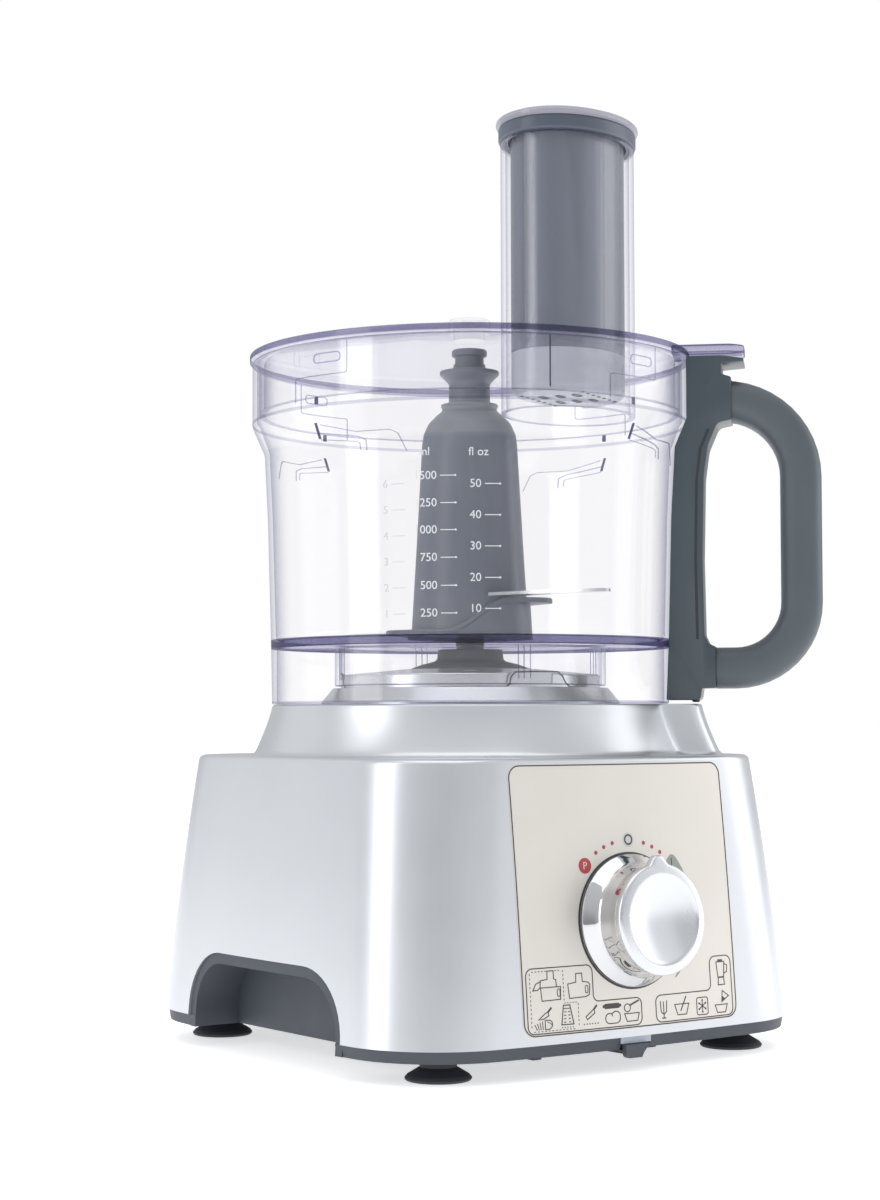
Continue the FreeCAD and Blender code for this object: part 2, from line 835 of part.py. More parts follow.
def feet():
    """Four soft feet, each a wide pad on a narrow stem."""
    for end, depth in (("front", "-foot_y"), ("rear", "foot_y")):
        for side, across in (("left", "-foot_x"), ("right", "foot_x")):
            name = "foot_%s_%s" % (end, side)
            body = turned(name + "_body", [
                ("0", "0"),
                ("foot_radius - edge", "0"),
                ("foot_radius", "foot_rim / 2", "rim_round"),
                ("foot_radius - edge", "foot_rim"),
                ("foot_neck", "foot_neck_level"),
                ("foot_neck", "tray_level - gap / 3"),
                ("foot_pin", "tray_level - gap / 3"),
                ("foot_pin", "tray_level + tray_floor + gap / 3"),
                ("0", "tray_level + tray_floor + gap / 3"),
            ])
            stand(node(body, name), across, depth)


def load_cells():
    """Four steel beams in the tray, one on each foot's pin."""
    beams = []
    low = "tray_level + tray_floor + gap / 2"
    for end in "-", "":
        for side in "-", "":
            near = ("(%sfoot_x)" % side, "(%sfoot_y)" % end)
            beams.append(block(
                "cell_%d" % len(beams),
                (near[0] + " - cell_length / 2", near[1] + " - cell_width / 2", low),
                (near[0] + " + cell_length / 2", near[1] + " + cell_width / 2", low + " + cell_thick"),
            ))
    return stand(node(compound("cells", beams), "load_cells"))


def base_screws():
    """Four self-tapping screws that hold the tray to the posts of the casing."""
    screws = []
    for end in "-", "":
        for side in "-", "":
            body = turned("screw_%d" % len(screws), [
                ("0", "tray_level + gap"),
                ("post_core + washer", "tray_level + gap"),
                ("post_core + washer", "tray_level + tray_floor - edge - snug"),
                ("post_core - snug", "tray_level + tray_floor - edge - snug"),
                ("post_core - snug", "base_low_level + post_radius"),
                ("0", "base_low_level + post_radius + edge"),
            ])
            bind(body, ".Placement.Base.x", side + "post_x")
            bind(body, ".Placement.Base.y", end + "post_y")
            screws.append(body)
    return stand(node(compound("screws", screws), "base_screws"))


def cord_gland():
    """The rubber bush in the rear wall."""
    body = turned("gland", [
        ("gland_bore", "-2 * base_wall"),
        ("gland_flange", "-2 * base_wall"),
        ("gland_flange", "-base_wall - 2 * gap"),
        ("gland_neck", "-base_wall - 2 * gap"),
        ("gland_neck", "gap"),
        ("gland_flange", "gap"),
        ("gland_flange - edge", "gap + soft_edge"),
        ("gland_bore", "gap + soft_edge"),
    ])
    node(body, "cord_gland")
    return stand(body, "gland_x", "gland_face", "gland_level", "-(90 - face_tilt)", Vector(1, 0, 0))


# ---------------------------------------------------------------- speed control and display

def on_dial(thing):
    """Stand a piece of the speed control on the front, looking along the face's normal."""
    return stand(thing, "0", "-dial_face", "dial_level", "90 - face_tilt", Vector(1, 0, 0))


def speed_control():
    """The knob, its shaft, the switch that it turns and the circuit board behind."""
    skirt = turned("collar_turn", [
        ("dial_foot_radius - dial_wall", "gap"),
        ("dial_foot_radius", "gap"),
        ("dial_foot_radius", "gap + edge"),
        ("dial_foot_radius - edge", "dial_foot_high", "soft_edge"),
        ("dial_waist_radius", "dial_waist_high", "-dial_waist_radius"),
        ("dial_waist_radius", "dial_cap_low - snug"),
        ("dial_waist_radius - dial_wall", "dial_cap_low - snug"),
        ("dial_waist_radius - dial_wall", "dial_foot_high"),
    ])
    on_dial(node(skirt, "knob_collar"))
    cap = turned("cap_turn", [
        ("0", "dial_cap_low"),
        ("dial_cap_radius - edge", "dial_cap_low"),
        ("dial_cap_radius", "dial_cap_low + edge", "edge"),
        ("dial_cap_radius", "dial_cap_high - soft_edge"),
        ("dial_cap_radius - soft_edge", "dial_cap_high", "soft_edge"),
        ("dial_dish_radius", "dial_cap_high"),
        ("dial_dish_radius - edge", "dial_cap_high - dial_dish_deep", "-washer"),
        ("0", "dial_cap_high - dial_dish_deep"),
    ])
    doc.recompute()
    pointer = new_sketch(cap, "pointer", offset="dial_cap_low + small_step")
    tip = "dial_cap_radius + nub_reach"
    outline(pointer, [
        ("-washer", "dial_cap_radius - nub_back"),
        ("washer", "dial_cap_radius - nub_back"),
        ("nub_half", tip),
        ("-nub_half", tip),
    ])
    pad(cap, pointer, "dial_cap_high - dial_cap_low - ledge")
    on_dial(node(cap, "knob_cap"))
    shaft = turned("shaft_turn", [
        ("0", "-dial_shaft_back"),
        ("dial_shaft_radius", "-dial_shaft_back"),
        ("dial_shaft_radius", "dial_cap_low - dial_wall"),
        ("dial_waist_radius / 2", "dial_cap_low - dial_wall"),
        ("dial_waist_radius / 2", "dial_cap_low - snug"),
        ("0", "dial_cap_low - snug"),
    ])
    on_dial(node(shaft, "knob_shaft"))
    switch = new_body("switch")
    face = new_sketch(switch, "switch_face", offset="-switch_front - switch_deep")
    rectangle(face, "-switch_side / 2", "-switch_side / 2", "switch_side / 2", "switch_side / 2")
    circle(face, "0", "0", "dial_shaft_radius + snug")
    pad(switch, face, "switch_deep")
    on_dial(node(switch, "rotary_switch"))
    board = new_body("board")
    plate = new_sketch(board, "board_face", offset="-switch_front - switch_deep - snug")
    rectangle(plate, "-board_wide / 2", "-board_high / 2", "board_wide / 2", "board_high / 2")
    circle(plate, "0", "0", "dial_shaft_radius + gap")
    pad(board, plate, "board_thick", reverse=True)
    on_dial(node(board, "circuit_board"))


def display():
    """The shallow display that slides out under the front, its window, its keys and its pull."""
    body = new_body("drawer")
    plate = new_sketch(body, "drawer_plate", offset="display_low")
    rectangle(plate, "-display_wide / 2", "-display_front", "display_wide / 2", "-display_back")
    pad(body, plate, "display_thick")
    stem = new_sketch(body, "drawer_stem", offset="display_low + display_thick")
    rectangle(
        stem, "-tab_left + edge", "-tab_front + tab_thick",
        "tab_right - edge", "-display_front + edge",
    )
    pad(body, stem, "tab_stem", reverse=True)
    tab = new_sketch(body, "drawer_tab", "XZ_Plane", offset="tab_front - tab_thick")
    outline(tab, [
        ("-tab_left + ledge", "tab_low", "ledge"),
        ("tab_right - slant", "tab_low"),
        ("tab_right", "tab_high - edge", "-hook_round"),
        ("tab_right", "tab_high"),
        ("-tab_left", "tab_high"),
        ("-tab_left", "tab_low + ledge"),
    ])
    pad(body, tab, "tab_thick")
    doc.recompute()
    recess = new_sketch(body, "window_recess", offset="display_low + display_thick")
    half = "(window_wide / 2 + %s)"
    rectangle(
        recess, "-" + half % "snug", "-window_y - window_deep / 2 - snug",
        half % "snug", "-window_y + window_deep / 2 + snug",
    )
    pocket(body, recess, "window_thick + snug")
    wells = new_sketch(body, "key_wells", offset="display_low + display_thick")
    for side in "-", "":
        circle(wells, side + "key_x", "-window_y", "key_radius + gap")
    pocket(body, wells, "key_high + key_travel + snug")
    stand(node(body, "display_drawer"))
    window = new_body("window")
    pane = new_sketch(window, "window_pane", offset="display_low + display_thick - window_thick")
    rectangle(
        pane, "-window_wide / 2", "-window_y - window_deep / 2",
        "window_wide / 2", "-window_y + window_deep / 2",
    )
    pad(window, pane, "window_thick")
    stand(node(window, "display_window"))
    for name, across in (("zero_key", "-key_x"), ("unit_key", "key_x")):
        key = turned(name + "_turn", [
            ("0", "display_low + display_thick - key_high"),
            ("key_radius", "display_low + display_thick - key_high"),
            ("key_radius", "display_low + display_thick - key_edge"),
            ("key_radius - key_edge", "display_low + display_thick", "key_edge"),
            ("0", "display_low + display_thick"),
        ])
        stand(node(key, name), across, "-window_y")
    label = block(
        "label", ("-label_left + snug", "-label_front", "label_low"),
        ("label_right - snug", "-label_front + label_deep - snug", "tray_rim_level"),
    )
    node(label, "pull_label")
    bind(label, ".Placement.Base.x", "axis_x - label_left + snug")
    bind(label, ".Placement.Base.y", "axis_y - label_front")


# ---------------------------------------------------------------- motor and drive

def at_motor(thing):
    return stand(thing, "motor_x", "motor_y")


def ring(name, inner, outer, low, high):
    """A plain ring or bush between two heights."""
    return turned(name, [(inner, low), (outer, low), (outer, high), (inner, high)])


def motor():
    """The wound motor that stands beside the spindle: fixed parts, then its rotor."""
    stator = new_body("stator")
    plate = new_sketch(stator, "stator_face", offset="stator_low")
    half = "stator_side / 2"
    round_rectangle(plate, "(-%s)" % half, "(-%s)" % half, "(%s)" % half, "(%s)" % half, "post_radius")
    circle(plate, "0", "0", "stator_bore")
    pad(stator, plate, "stator_high - stator_low")
    at_motor(node(stator, "motor_stator"))
    lower = ring("lower_coil", "coil_inner", "coil_outer", "stator_low - coil_high", "stator_low - snug")
    upper = ring("upper_coil", "coil_inner", "coil_outer", "stator_high + snug", "stator_high + coil_high")
    at_motor(node(compound("coils", [lower, upper]), "motor_windings"))
    for name, low in (("lower", "frame_low"), ("upper", "frame_high")):
        frame = new_body(name + "_frame")
        face = new_sketch(frame, name + "_frame_face", offset=low)
        side = "frame_side / 2"
        round_rectangle(face, "(-%s)" % side, "(-%s)" % side, "(%s)" % side, "(%s)" % side, "post_radius")
        circle(face, "0", "0", "rotor_bearing + snug")
        for across in "-", "":
            for along in "-", "":
                circle(face, across + "tie_offset", along + "tie_offset", "tie_radius + snug")
        pad(frame, face, "frame_thick")
        at_motor(node(frame, "motor_%s_frame" % name))
        bearing = ring(
            name + "_bearing", "rotor_shaft + snug", "rotor_bearing", low, low + " + frame_thick",
        )
        at_motor(node(bearing, "motor_%s_bearing" % name))
    ties = []
    for across in "-", "":
        for along in "-", "":
            ties.append(cylinder(
                "tie_%d" % len(ties), "tie_radius", "tie_high - tie_low",
                across + "tie_offset", along + "tie_offset", "tie_low",
            ))
    at_motor(node(compound("ties", ties), "motor_tie_bolts"))
    drill = new_sketch(stator, "tie_holes", offset="stator_low")
    for across in "-", "":
        for along in "-", "":
            circle(drill, across + "tie_offset", along + "tie_offset", "tie_radius + snug")
    pocket(stator, drill, both=True)


def carbon_brushes():
    """The two brushes that bear on the commutator from its sides."""
    brushes = []
    middle = "(commutator_low + commutator_high) / 2"
    for number, (near, far) in enumerate((
        ("-commutator_radius - gap - brush_long", "-commutator_radius - gap"),
        ("commutator_radius + gap", "commutator_radius + gap + brush_long"),
    )):
        brushes.append(block(
            "brush_%d" % number,
            (near, "-brush_wide / 2", middle + " - brush_wide / 2"),
            (far, "brush_wide / 2", middle + " + brush_wide / 2"),
        ))
    at_motor(node(compound("brushes", brushes), "carbon_brushes"))


def rotor():
    """Everything that turns on the motor's shaft."""
    shaft = ring("rotor_shaft_turn", "0", "rotor_shaft", "rotor_shaft_low", "rotor_shaft_high")
    at_motor(node(shaft, "motor_shaft"))
    armature = ring("armature_turn", "rotor_shaft + snug", "armature_radius", "stator_low", "stator_high")
    doc.recompute()
    slot = new_sketch(armature, "armature_slots", offset="stator_low - edge")
    near = "armature_radius - armature_slot_deep"
    rectangle(slot, near, "-armature_slot / 2", "armature_radius + ledge", "armature_slot / 2")
    cut = pocket(armature, slot, "stator_high", reverse=True)
    doc.recompute()
    repeat(armature, cut, 12)
    at_motor(node(armature, "armature"))
    commutator = ring(
        "commutator_turn", "rotor_shaft + snug", "commutator_radius", "commutator_low", "commutator_high",
    )
    at_motor(node(commutator, "commutator"))
    fan = ring("fan_turn", "rotor_shaft + snug", "fan_hub", "fan_low", "fan_high")
    doc.recompute()
    disc = new_sketch(fan, "fan_disc", offset="fan_low")
    circle(disc, "0", "0", "fan_radius")
    circle(disc, "0", "0", "fan_hub - edge")
    pad(fan, disc, "fan_blade")
    doc.recompute()
    blade = new_sketch(fan, "fan_blades", offset="fan_low")
    rectangle(blade, "fan_hub - edge", "-fan_blade / 2", "fan_radius - edge", "fan_blade / 2")
    wing = pad(fan, blade, "fan_high - fan_low")
    doc.recompute()
    repeat(fan, wing, 9)
    at_motor(node(fan, "cooling_fan"))
    at_motor(node(pulley("motor_pulley_turn", "rotor_shaft + snug", "motor_pulley_radius"), "motor_pulley"))


def pulley(name, bore, radius):
    """A belt pulley with a flange on each side."""
    lip = "(%s + pulley_lip)" % radius
    return turned(name, [
        (bore, "pulley_low"),
        (lip, "pulley_low"),
        (lip, "pulley_low + pulley_flange"),
        (radius, "pulley_low + pulley_flange"),
        (radius, "pulley_high - pulley_flange"),
        (lip, "pulley_high - pulley_flange"),
        (lip, "pulley_high"),
        (bore, "pulley_high"),
    ])


def belt_outline(sketch, grow):
    """The closed line of a belt round both pulleys, along the line from spindle to motor."""
    span = "sqrt(motor_x ^ 2 + motor_y ^ 2)"
    lean = "acos((driven_pulley_radius - motor_pulley_radius) / %s)" % span
    big = "(driven_pulley_radius + gap + %s)" % grow
    small = "(motor_pulley_radius + gap + %s)" % grow
    big_x, big_y = "%s * cos(%s)" % (big, lean), "%s * sin(%s)" % (big, lean)
    small_x, small_y = "%s + %s * cos(%s)" % (span, small, lean), "%s * sin(%s)" % (small, lean)
    outline(sketch, [
        (small_x, "-" + small_y),
        (small_x + " - %s * cos(%s) + %s" % (small, lean, small), "0", small),
        (small_x, small_y, small),
        (big_x, big_y),
        ("-" + big, "0", big),
        (big_x, "-" + big_y, big),
    ])


def drive_belt():
    body = new_body("belt")
    band = new_sketch(body, "belt_face", offset="pulley_low + pulley_flange + 2 * gap")
    belt_outline(band, "belt_thick")
    belt_outline(band, "0")
    pad(body, band, "pulley_high - pulley_low - 2 * pulley_flange - 4 * gap")
    return stand(node(body, "drive_belt"), turn="atan(motor_y / motor_x) / 1 deg")


def spindle():
    """The bearing tube under the neck, then the spindle, its pulley and its splined coupling."""
    tube = turned("bearing_tube", [
        ("spindle_bearing + snug", "tube_low"),
        ("tube_radius", "tube_low"),
        ("tube_radius", "neck_level - neck_wall - tube_flange_thick"),
        ("tube_flange", "neck_level - neck_wall - tube_flange_thick"),
        ("tube_flange", "neck_level - neck_wall - snug"),
        ("spindle_bearing + snug", "neck_level - neck_wall - snug"),
    ])
    stand(node(tube, "spindle_housing"))
    upper = "neck_level - neck_wall - bearing_high - inset"
    for name, low in (("lower", "tube_low + inset"), ("upper", upper)):
        bearing = ring(
            name + "_spindle_bearing", "spindle_radius + snug", "spindle_bearing", low, low + " + bearing_high",
        )
        stand(node(bearing, "spindle_%s_bearing" % name))
    shaft = turned("spindle_turn", [
        ("0", "spindle_low"),
        ("spindle_radius", "spindle_low"),
        ("spindle_radius", "spindle_high - edge"),
        ("spindle_radius - edge", "spindle_high"),
        ("0", "spindle_high"),
    ])
    stand(node(shaft, "drive_spindle"))
    bore = "spindle_radius + snug"
    stand(node(pulley("driven_pulley_turn", bore, "driven_pulley_radius"), "driven_pulley"))
    coupling = ring("coupling_turn", bore, "coupling_radius", "coupling_low", "coupling_high")
    doc.recompute()
    groove = new_sketch(coupling, "coupling_splines", offset="coupling_low - edge")
    near = "coupling_radius - spline_wide / 2"
    rectangle(groove, near, "-spline_wide / 2", "coupling_radius + ledge", "spline_wide / 2")
    cut = pocket(coupling, groove, "coupling_high", reverse=True)
    doc.recompute()
    repeat(coupling, cut, 6)
    stand(node(coupling, "drive_coupling"))


# ---------------------------------------------------------------- bowl and handle

def bowl_wall_points(inset):
    """The bowl's wall from its floor up to its collar, as (radius, height) points."""
    return [
        ("bowl_floor_radius - %s" % inset, "bowl_floor"),
        ("bowl_mid_radius - %s" % inset, "bowl_mid_level"),
        ("bowl_flare_radius - %s" % inset, "bowl_flare_level"),
        ("bowl_collar_radius - %s" % inset, "bowl_ledge_level"),
        ("bowl_collar_radius - %s" % inset, "bowl_collar_level"),
    ]


def bowl():
    """The clear bowl: wall, collar, floor, chimney over the drive, and the skirt that locates it."""
    inner = bowl_wall_points("bowl_wall")
    body = turned("bowl_turn", [
        ("chimney_radius", "bowl_floor_low"),
        ("skirt_radius - skirt_wall", "bowl_floor_low"),
        ("skirt_radius - skirt_wall", "skirt_level"),
        ("skirt_radius", "skirt_level"),
        ("skirt_radius", "bowl_floor_low"),
        ("bowl_floor_radius - bowl_wall", "bowl_floor_low"),
        ("bowl_foot_radius - bowl_wall", "bowl_foot_level"),
        ("bowl_foot_radius", "bowl_foot_level"),
    ] + bowl_wall_points("0") + inner[:0:-1] + [
        ("bowl_floor_radius - bowl_wall", "bowl_floor + bowl_corner"),
        ("bowl_floor_radius - bowl_wall - bowl_corner", "bowl_floor", "-bowl_corner"),
        ("chimney_radius + chimney_wall", "bowl_floor"),
        ("chimney_radius + chimney_wall", "chimney_level"),
        ("chimney_radius", "chimney_level"),
    ])
    return stand(node(body, "bowl"))


def on_handle(thing):
    return stand(thing, turn="handle_turn")


def handle_bracket():
    """The slate bar down the side of the bowl, with a shelf at its head and a bore for the rod."""
    body = new_body("bracket_blank")
    side = new_sketch(body, "bracket_side", "XZ_Plane")
    outline(side, [
        ("bowl_foot_radius - lap", "bracket_low"),
        ("bracket_out", "bracket_low"),
        ("bracket_out", "grip_low_level - grip_thick / 2"),
        ("joint_low_out", "grip_low_level - grip_thick / 2"),
        ("joint_low_out", "grip_low_level + grip_thick / 2"),
        ("bracket_out", "grip_low_level + grip_thick / 2 + ledge"),
        ("bracket_out + small_step", "bracket_waist_level"),
        ("bracket_shoulder - ledge", "bracket_shoulder_level - ledge", "bracket_shoulder_level / 5"),
        ("joint_top_out", "grip_top_level - grip_thick / 2"),
        ("joint_top_out", "grip_top_level + grip_thick / 2"),
        ("bracket_shoulder + edge", "shelf_notch"),
        ("bracket_shoulder + edge", "shelf_level - edge"),
        ("shelf_out", "shelf_level"),
        ("shelf_out", "shelf_level + edge"),
        ("bracket_shoulder + edge", "shelf_level + shelf_thick"),
        ("bowl_foot_radius - lap", "bracket_top"),
    ])
    pad(body, side, "bracket_wide", both=True)
    doc.recompute()
    bore = new_sketch(body, "rod_bore", offset="0")
    circle(bore, "rod_reach", "0", "rod_radius + gap")
    pocket(body, bore, "2 * bracket_top", reverse=True)
    clear = turned("bracket_clearance", [
        ("0", "0"),
        ("bowl_foot_radius + gap / 2", "0"),
        ("bowl_foot_radius + gap / 2", "bowl_foot_level"),
        ("bowl_floor_radius + gap / 2", "bowl_floor"),
        ("bowl_mid_radius + gap / 2", "bowl_mid_level"),
        ("bowl_flare_radius + gap / 2", "bowl_flare_level"),
        ("bowl_collar_radius + gap / 2", "bowl_ledge_level"),
        ("bowl_collar_radius + gap / 2", "2 * bowl_collar_level"),
        ("0", "2 * bowl_collar_level"),
    ])
    return on_handle(node(boolean("Cut", "bracket", body, clear), "handle_bracket"))


def handle_grip():
    """The D-shaped grip: one rounded section swept from the foot joint up to the head joint."""
    body = new_body("grip")
    path = new_sketch(body, "grip_path", "XZ_Plane")
    outline(path, [
        ("joint_low_out + snug", "grip_low_level"),
        ("grip_out - grip_low_round", "grip_low_level"),
        ("grip_out", "grip_low_bend", "grip_low_round"),
        ("grip_out", "grip_top_bend"),
        ("joint_top_out + snug", "grip_top_level", "grip_top_round"),
    ], closed=False)
    section = new_sketch(body, "grip_section", "YZ_Plane", offset="joint_low_out + snug")
    low = "(grip_low_level - grip_thick / 2)"
    high = "(grip_low_level + grip_thick / 2)"
    round_rectangle(section, "(-grip_wide / 2)", low, "(grip_wide / 2)", high, "(grip_thick * 0.44)")
    doc.recompute()
    sweep = body.newObject("PartDesign::AdditivePipe", "grip_sweep")
    sweep.Profile = section
    sweep.Spine = (path, ["Edge%d" % (i + 1) for i in range(len(path.Geometry))])
    doc.recompute()
    return on_handle(node(body, "handle_grip"))


def interlock_rod():
    """The rod inside the bracket that the lid presses down on to the switch in the base."""
    body = turned("rod_turn", [
        ("0", "rod_low"),
        ("rod_radius - fine_edge", "rod_low"),
        ("rod_radius", "rod_low + fine_edge"),
        ("rod_radius", "rod_high - fine_edge"),
        ("rod_radius - fine_edge", "rod_high"),
        ("0", "rod_high"),
    ])
    node(body, "interlock_rod")
    reach = "rod_reach * %s(handle_turn * 1 deg)"
    return stand(body, reach % "cos", reach % "sin")


# ---------------------------------------------------------------- knife

def knife():
    """The hub, its two blades and the drive post that carries them."""
    hub = turned("hub_turn", [
        ("hub_bore", "hub_low"),
        ("hub_foot_radius", "hub_low"),
        ("hub_mid_radius", "hub_mid_level"),
        ("hub_top_radius", "hub_top_level"),
        ("hub_dome_radius", "hub_dome_level", "hub_dome_radius"),
        ("hub_dome_radius", "hub_rim_level"),
        ("hub_neck_radius", "hub_rim_level"),
        ("hub_neck_radius", "hub_flange_low"),
        ("hub_flange_radius", "hub_flange_low + ledge"),
        ("hub_flange_radius", "hub_flange_high - edge"),
        ("hub_neck_radius", "hub_flange_high"),
        ("hub_neck_radius - edge", "hub_high"),
        ("post_out + snug", "hub_high"),
        ("post_out + snug", "hub_bore_high"),
        ("hub_bore", "hub_bore_high"),
    ])
    stand(node(hub, "knife_hub"))
    for name, level in (("lower_blade", "lower_blade_level"), ("upper_blade", "upper_blade_level")):
        blade = new_body(name + "_body")
        face = new_sketch(blade, name + "_face", offset=level)
        outline(face, [
            ("blade_root", "-blade_root_wide / 2"),
            ("blade_reach", "blade_sweep", "2 * blade_reach"),
            ("blade_reach - edge", "blade_sweep + blade_tip_wide", "blade_tip_wide"),
            ("blade_root", "blade_root_wide / 2", "-1.6 * blade_reach"),
        ])
        pad(blade, face, "blade_thick")
        stand(node(blade, name), turn=name + "_turn")
    post = turned("post_turn", [
        ("post_socket", "post_low"),
        ("post_out + ledge", "post_low"),
        ("post_out + ledge", "hub_bore_high - edge"),
        ("post_out", "hub_bore_high - edge"),
        ("post_out", "post_high"),
        ("pin_radius", "post_high"),
        ("pin_radius", "pin_high"),
        ("0", "pin_high"),
        ("0", "post_socket_high"),
        ("post_socket", "post_socket_high"),
    ])
    stand(node(post, "drive_post"))


# ---------------------------------------------------------------- lid and pusher

def oval(name, major, minor, low, high):
    """An upright oval column at the feed tube's place."""
    line = doc.addObject("Part::Ellipse", name + "_line")
    bind(line, "MajorRadius", major)
    bind(line, "MinorRadius", minor)
    line.Placement = FreeCAD.Placement(Vector(0, 0, 0), Rotation(Vector(0, 0, 1), value("tube_turn")))
    bind(line, ".Placement.Rotation.Angle", "tube_turn")
    bind(line, ".Placement.Base.x", "tube_x")
    bind(line, ".Placement.Base.y", "-tube_y")
    bind(line, ".Placement.Base.z", low)
    column = doc.addObject("Part::Extrusion", name)
    column.Base = line
    column.DirMode = "Custom"
    column.Dir = Vector(0, 0, 1)
    column.Solid = True
    bind(column, "LengthFwd", "(%s) - (%s)" % (high, low))
    return column


def lid():
    """The clear lid: rim, crown, skirt, centre boss, lock tab and the feed tube."""
    crown = turned("lid_turn", [
        ("lid_skirt_radius - lid_wall", "lid_skirt_low"),
        ("lid_skirt_radius", "lid_skirt_low"),
        ("lid_skirt_radius", "lid_low"),
        ("lid_radius", "lid_low"),
        ("lid_radius", "lid_rim_level"),
        ("lid_radius - lid_wall", "lid_rim_level"),
        ("lid_crown_radius", "lid_crown_level", "crown_round"),
        ("lid_boss_radius", "lid_crown_level + edge"),
        ("lid_boss_radius", "lid_boss_level - edge"),
        ("lid_boss_radius - edge", "lid_boss_level", "edge"),
        ("0", "lid_boss_level"),
        ("0", "lid_bore_high"),
        ("lid_bore", "lid_bore_high"),
        ("lid_bore", "lid_crown_level - lid_wall"),
        ("lid_crown_radius", "lid_crown_level - lid_wall"),
        ("lid_skirt_radius - lid_wall", "lid_rim_level - lid_wall", "-crown_round"),
    ])
    doc.recompute()
    tab = new_sketch(crown, "lid_tab", offset="lid_tab_low")
    outline(tab, [
        ("lid_skirt_radius", "-lid_tab_wide / 2"),
        ("lid_tab_out - slant", "-lid_tab_wide / 2 + inset"),
        ("lid_tab_out", "-lid_tab_wide / 2 + tab_side", "tab_round"),
        ("lid_tab_out", "lid_tab_wide / 2 - tab_side"),
        ("lid_tab_out - slant", "lid_tab_wide / 2 - inset", "tab_round"),
        ("lid_skirt_radius", "lid_tab_wide / 2"),
    ])
    turn = Rotation(Vector(0, 0, 1), value("handle_turn"))
    tab.AttachmentOffset = FreeCAD.Placement(Vector(0, 0, 0), turn)
    bind(tab, ".AttachmentOffset.Rotation.Angle", "handle_turn")
    bind(tab, ".AttachmentOffset.Base.z", "lid_tab_low")
    pad(crown, tab, "lid_tab_level - lid_tab_low")
    outer = oval("tube_outer", "tube_major", "tube_minor", "tube_end", "tube_high")
    inner = oval(
        "tube_inner", "tube_major - tube_wall", "tube_minor - tube_wall",
        "tube_end - tube_wall", "tube_high + tube_wall",
    )
    whole = boolean("Fuse", "lid_and_tube", crown, outer)
    return stand(node(boolean("Cut", "lid_hollow", whole, inner), "lid"))


def pusher():
    """The pusher's body, the dark collar that stops it and the clear cap."""
    outer = oval("pusher_outer", "pusher_major", "pusher_minor", "pusher_low", "collar_high - gap")
    hollow = oval(
        "pusher_hollow", "pusher_major - pusher_wall", "pusher_minor - pusher_wall",
        "pusher_low + pusher_wall", "collar_high",
    )
    stand(node(boolean("Cut", "pusher_cup", outer, hollow), "pusher_body"))
    band = oval("collar_outer", "collar_major", "collar_minor", "collar_low", "collar_high - snug")
    bore = oval(
        "collar_bore", "pusher_major + snug", "pusher_minor + snug",
        "collar_low - edge", "collar_high + edge",
    )
    stand(node(boolean("Cut", "collar_ring", band, bore), "pusher_collar"))
    plate = oval("cap_plate", "cap_major", "cap_minor", "collar_high", "cap_high")
    dome = oval("cap_dome", "dome_major", "dome_minor", "collar_high", "dome_high")
    stand(node(boolean("Fuse", "cap_whole", plate, dome), "pusher_cap"))


# ---------------------------------------------------------------- build, check and write

base_housing()
control_panel()
base_tray()
bowl_seat()
feet()
load_cells()
base_screws()
cord_gland()
speed_control()
display()
motor()
carbon_brushes()
rotor()
drive_belt()
spindle()
bowl()
handle_bracket()
handle_grip()
interlock_rod()
knife()
lid()
pusher()

doc.recompute()

for thing in doc.Objects:
    if "Invalid" in thing.State or "Error" in thing.State:
        raise RuntimeError("%s (%s) failed: %s" % (thing.Name, thing.Label, thing.State))

os.makedirs("parts", exist_ok=True)
whole_box = FreeCAD.BoundBox()
for thing in nodes:
    shape = thing.Shape
    if shape.isNull() or not shape.isValid():
        raise RuntimeError("%s has no valid shape" % thing.Label)
    shape.exportStep("parts/%s.step" % thing.Label)
    whole_box.add(shape.BoundBox)
    print("%-24s %2d solid %12.1f mm3" % (thing.Label, len(shape.Solids), shape.Volume))
print(len(nodes), "nodes, box", whole_box)
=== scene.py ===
from math import atan, ceil, copysign, cos, hypot, pi, radians, sin, sqrt, tan

import bmesh
import bpy
from mathutils import Matrix, Vector
from mathutils.bvhtree import BVHTree


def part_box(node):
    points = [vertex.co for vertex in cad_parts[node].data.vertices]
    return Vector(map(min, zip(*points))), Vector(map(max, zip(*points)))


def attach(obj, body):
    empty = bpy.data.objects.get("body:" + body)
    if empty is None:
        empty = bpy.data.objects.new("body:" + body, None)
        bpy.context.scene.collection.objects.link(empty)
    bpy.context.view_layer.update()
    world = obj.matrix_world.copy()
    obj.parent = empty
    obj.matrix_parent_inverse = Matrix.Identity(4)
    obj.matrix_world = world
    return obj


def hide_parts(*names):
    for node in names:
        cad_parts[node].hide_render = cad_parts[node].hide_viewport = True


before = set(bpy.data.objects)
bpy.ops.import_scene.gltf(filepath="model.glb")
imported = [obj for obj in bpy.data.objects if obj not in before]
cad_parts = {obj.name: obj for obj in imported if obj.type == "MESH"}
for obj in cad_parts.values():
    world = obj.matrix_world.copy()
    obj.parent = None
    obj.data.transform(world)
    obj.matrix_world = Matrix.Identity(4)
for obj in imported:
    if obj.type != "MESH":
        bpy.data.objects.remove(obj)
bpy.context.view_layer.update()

# Sizes are millimetres about the bowl's own upright axis, which the CAD bowl gives. placed()
# turns them into metres in the shared frame.
MM = 0.001
bowl_low, bowl_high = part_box("bowl")
AXIS = Vector(((bowl_low.x + bowl_high.x) / 2, (bowl_low.y + bowl_high.y) / 2, 0))
FULL = 2 * pi
TURN = 160
HANDLE_TURN = radians(-45)


def placed(x, y, z):
    return Vector((x * MM, y * MM, z * MM)) + AXIS


def polar(radius, angle, z):
    return placed(radius * cos(angle), radius * sin(angle), z)


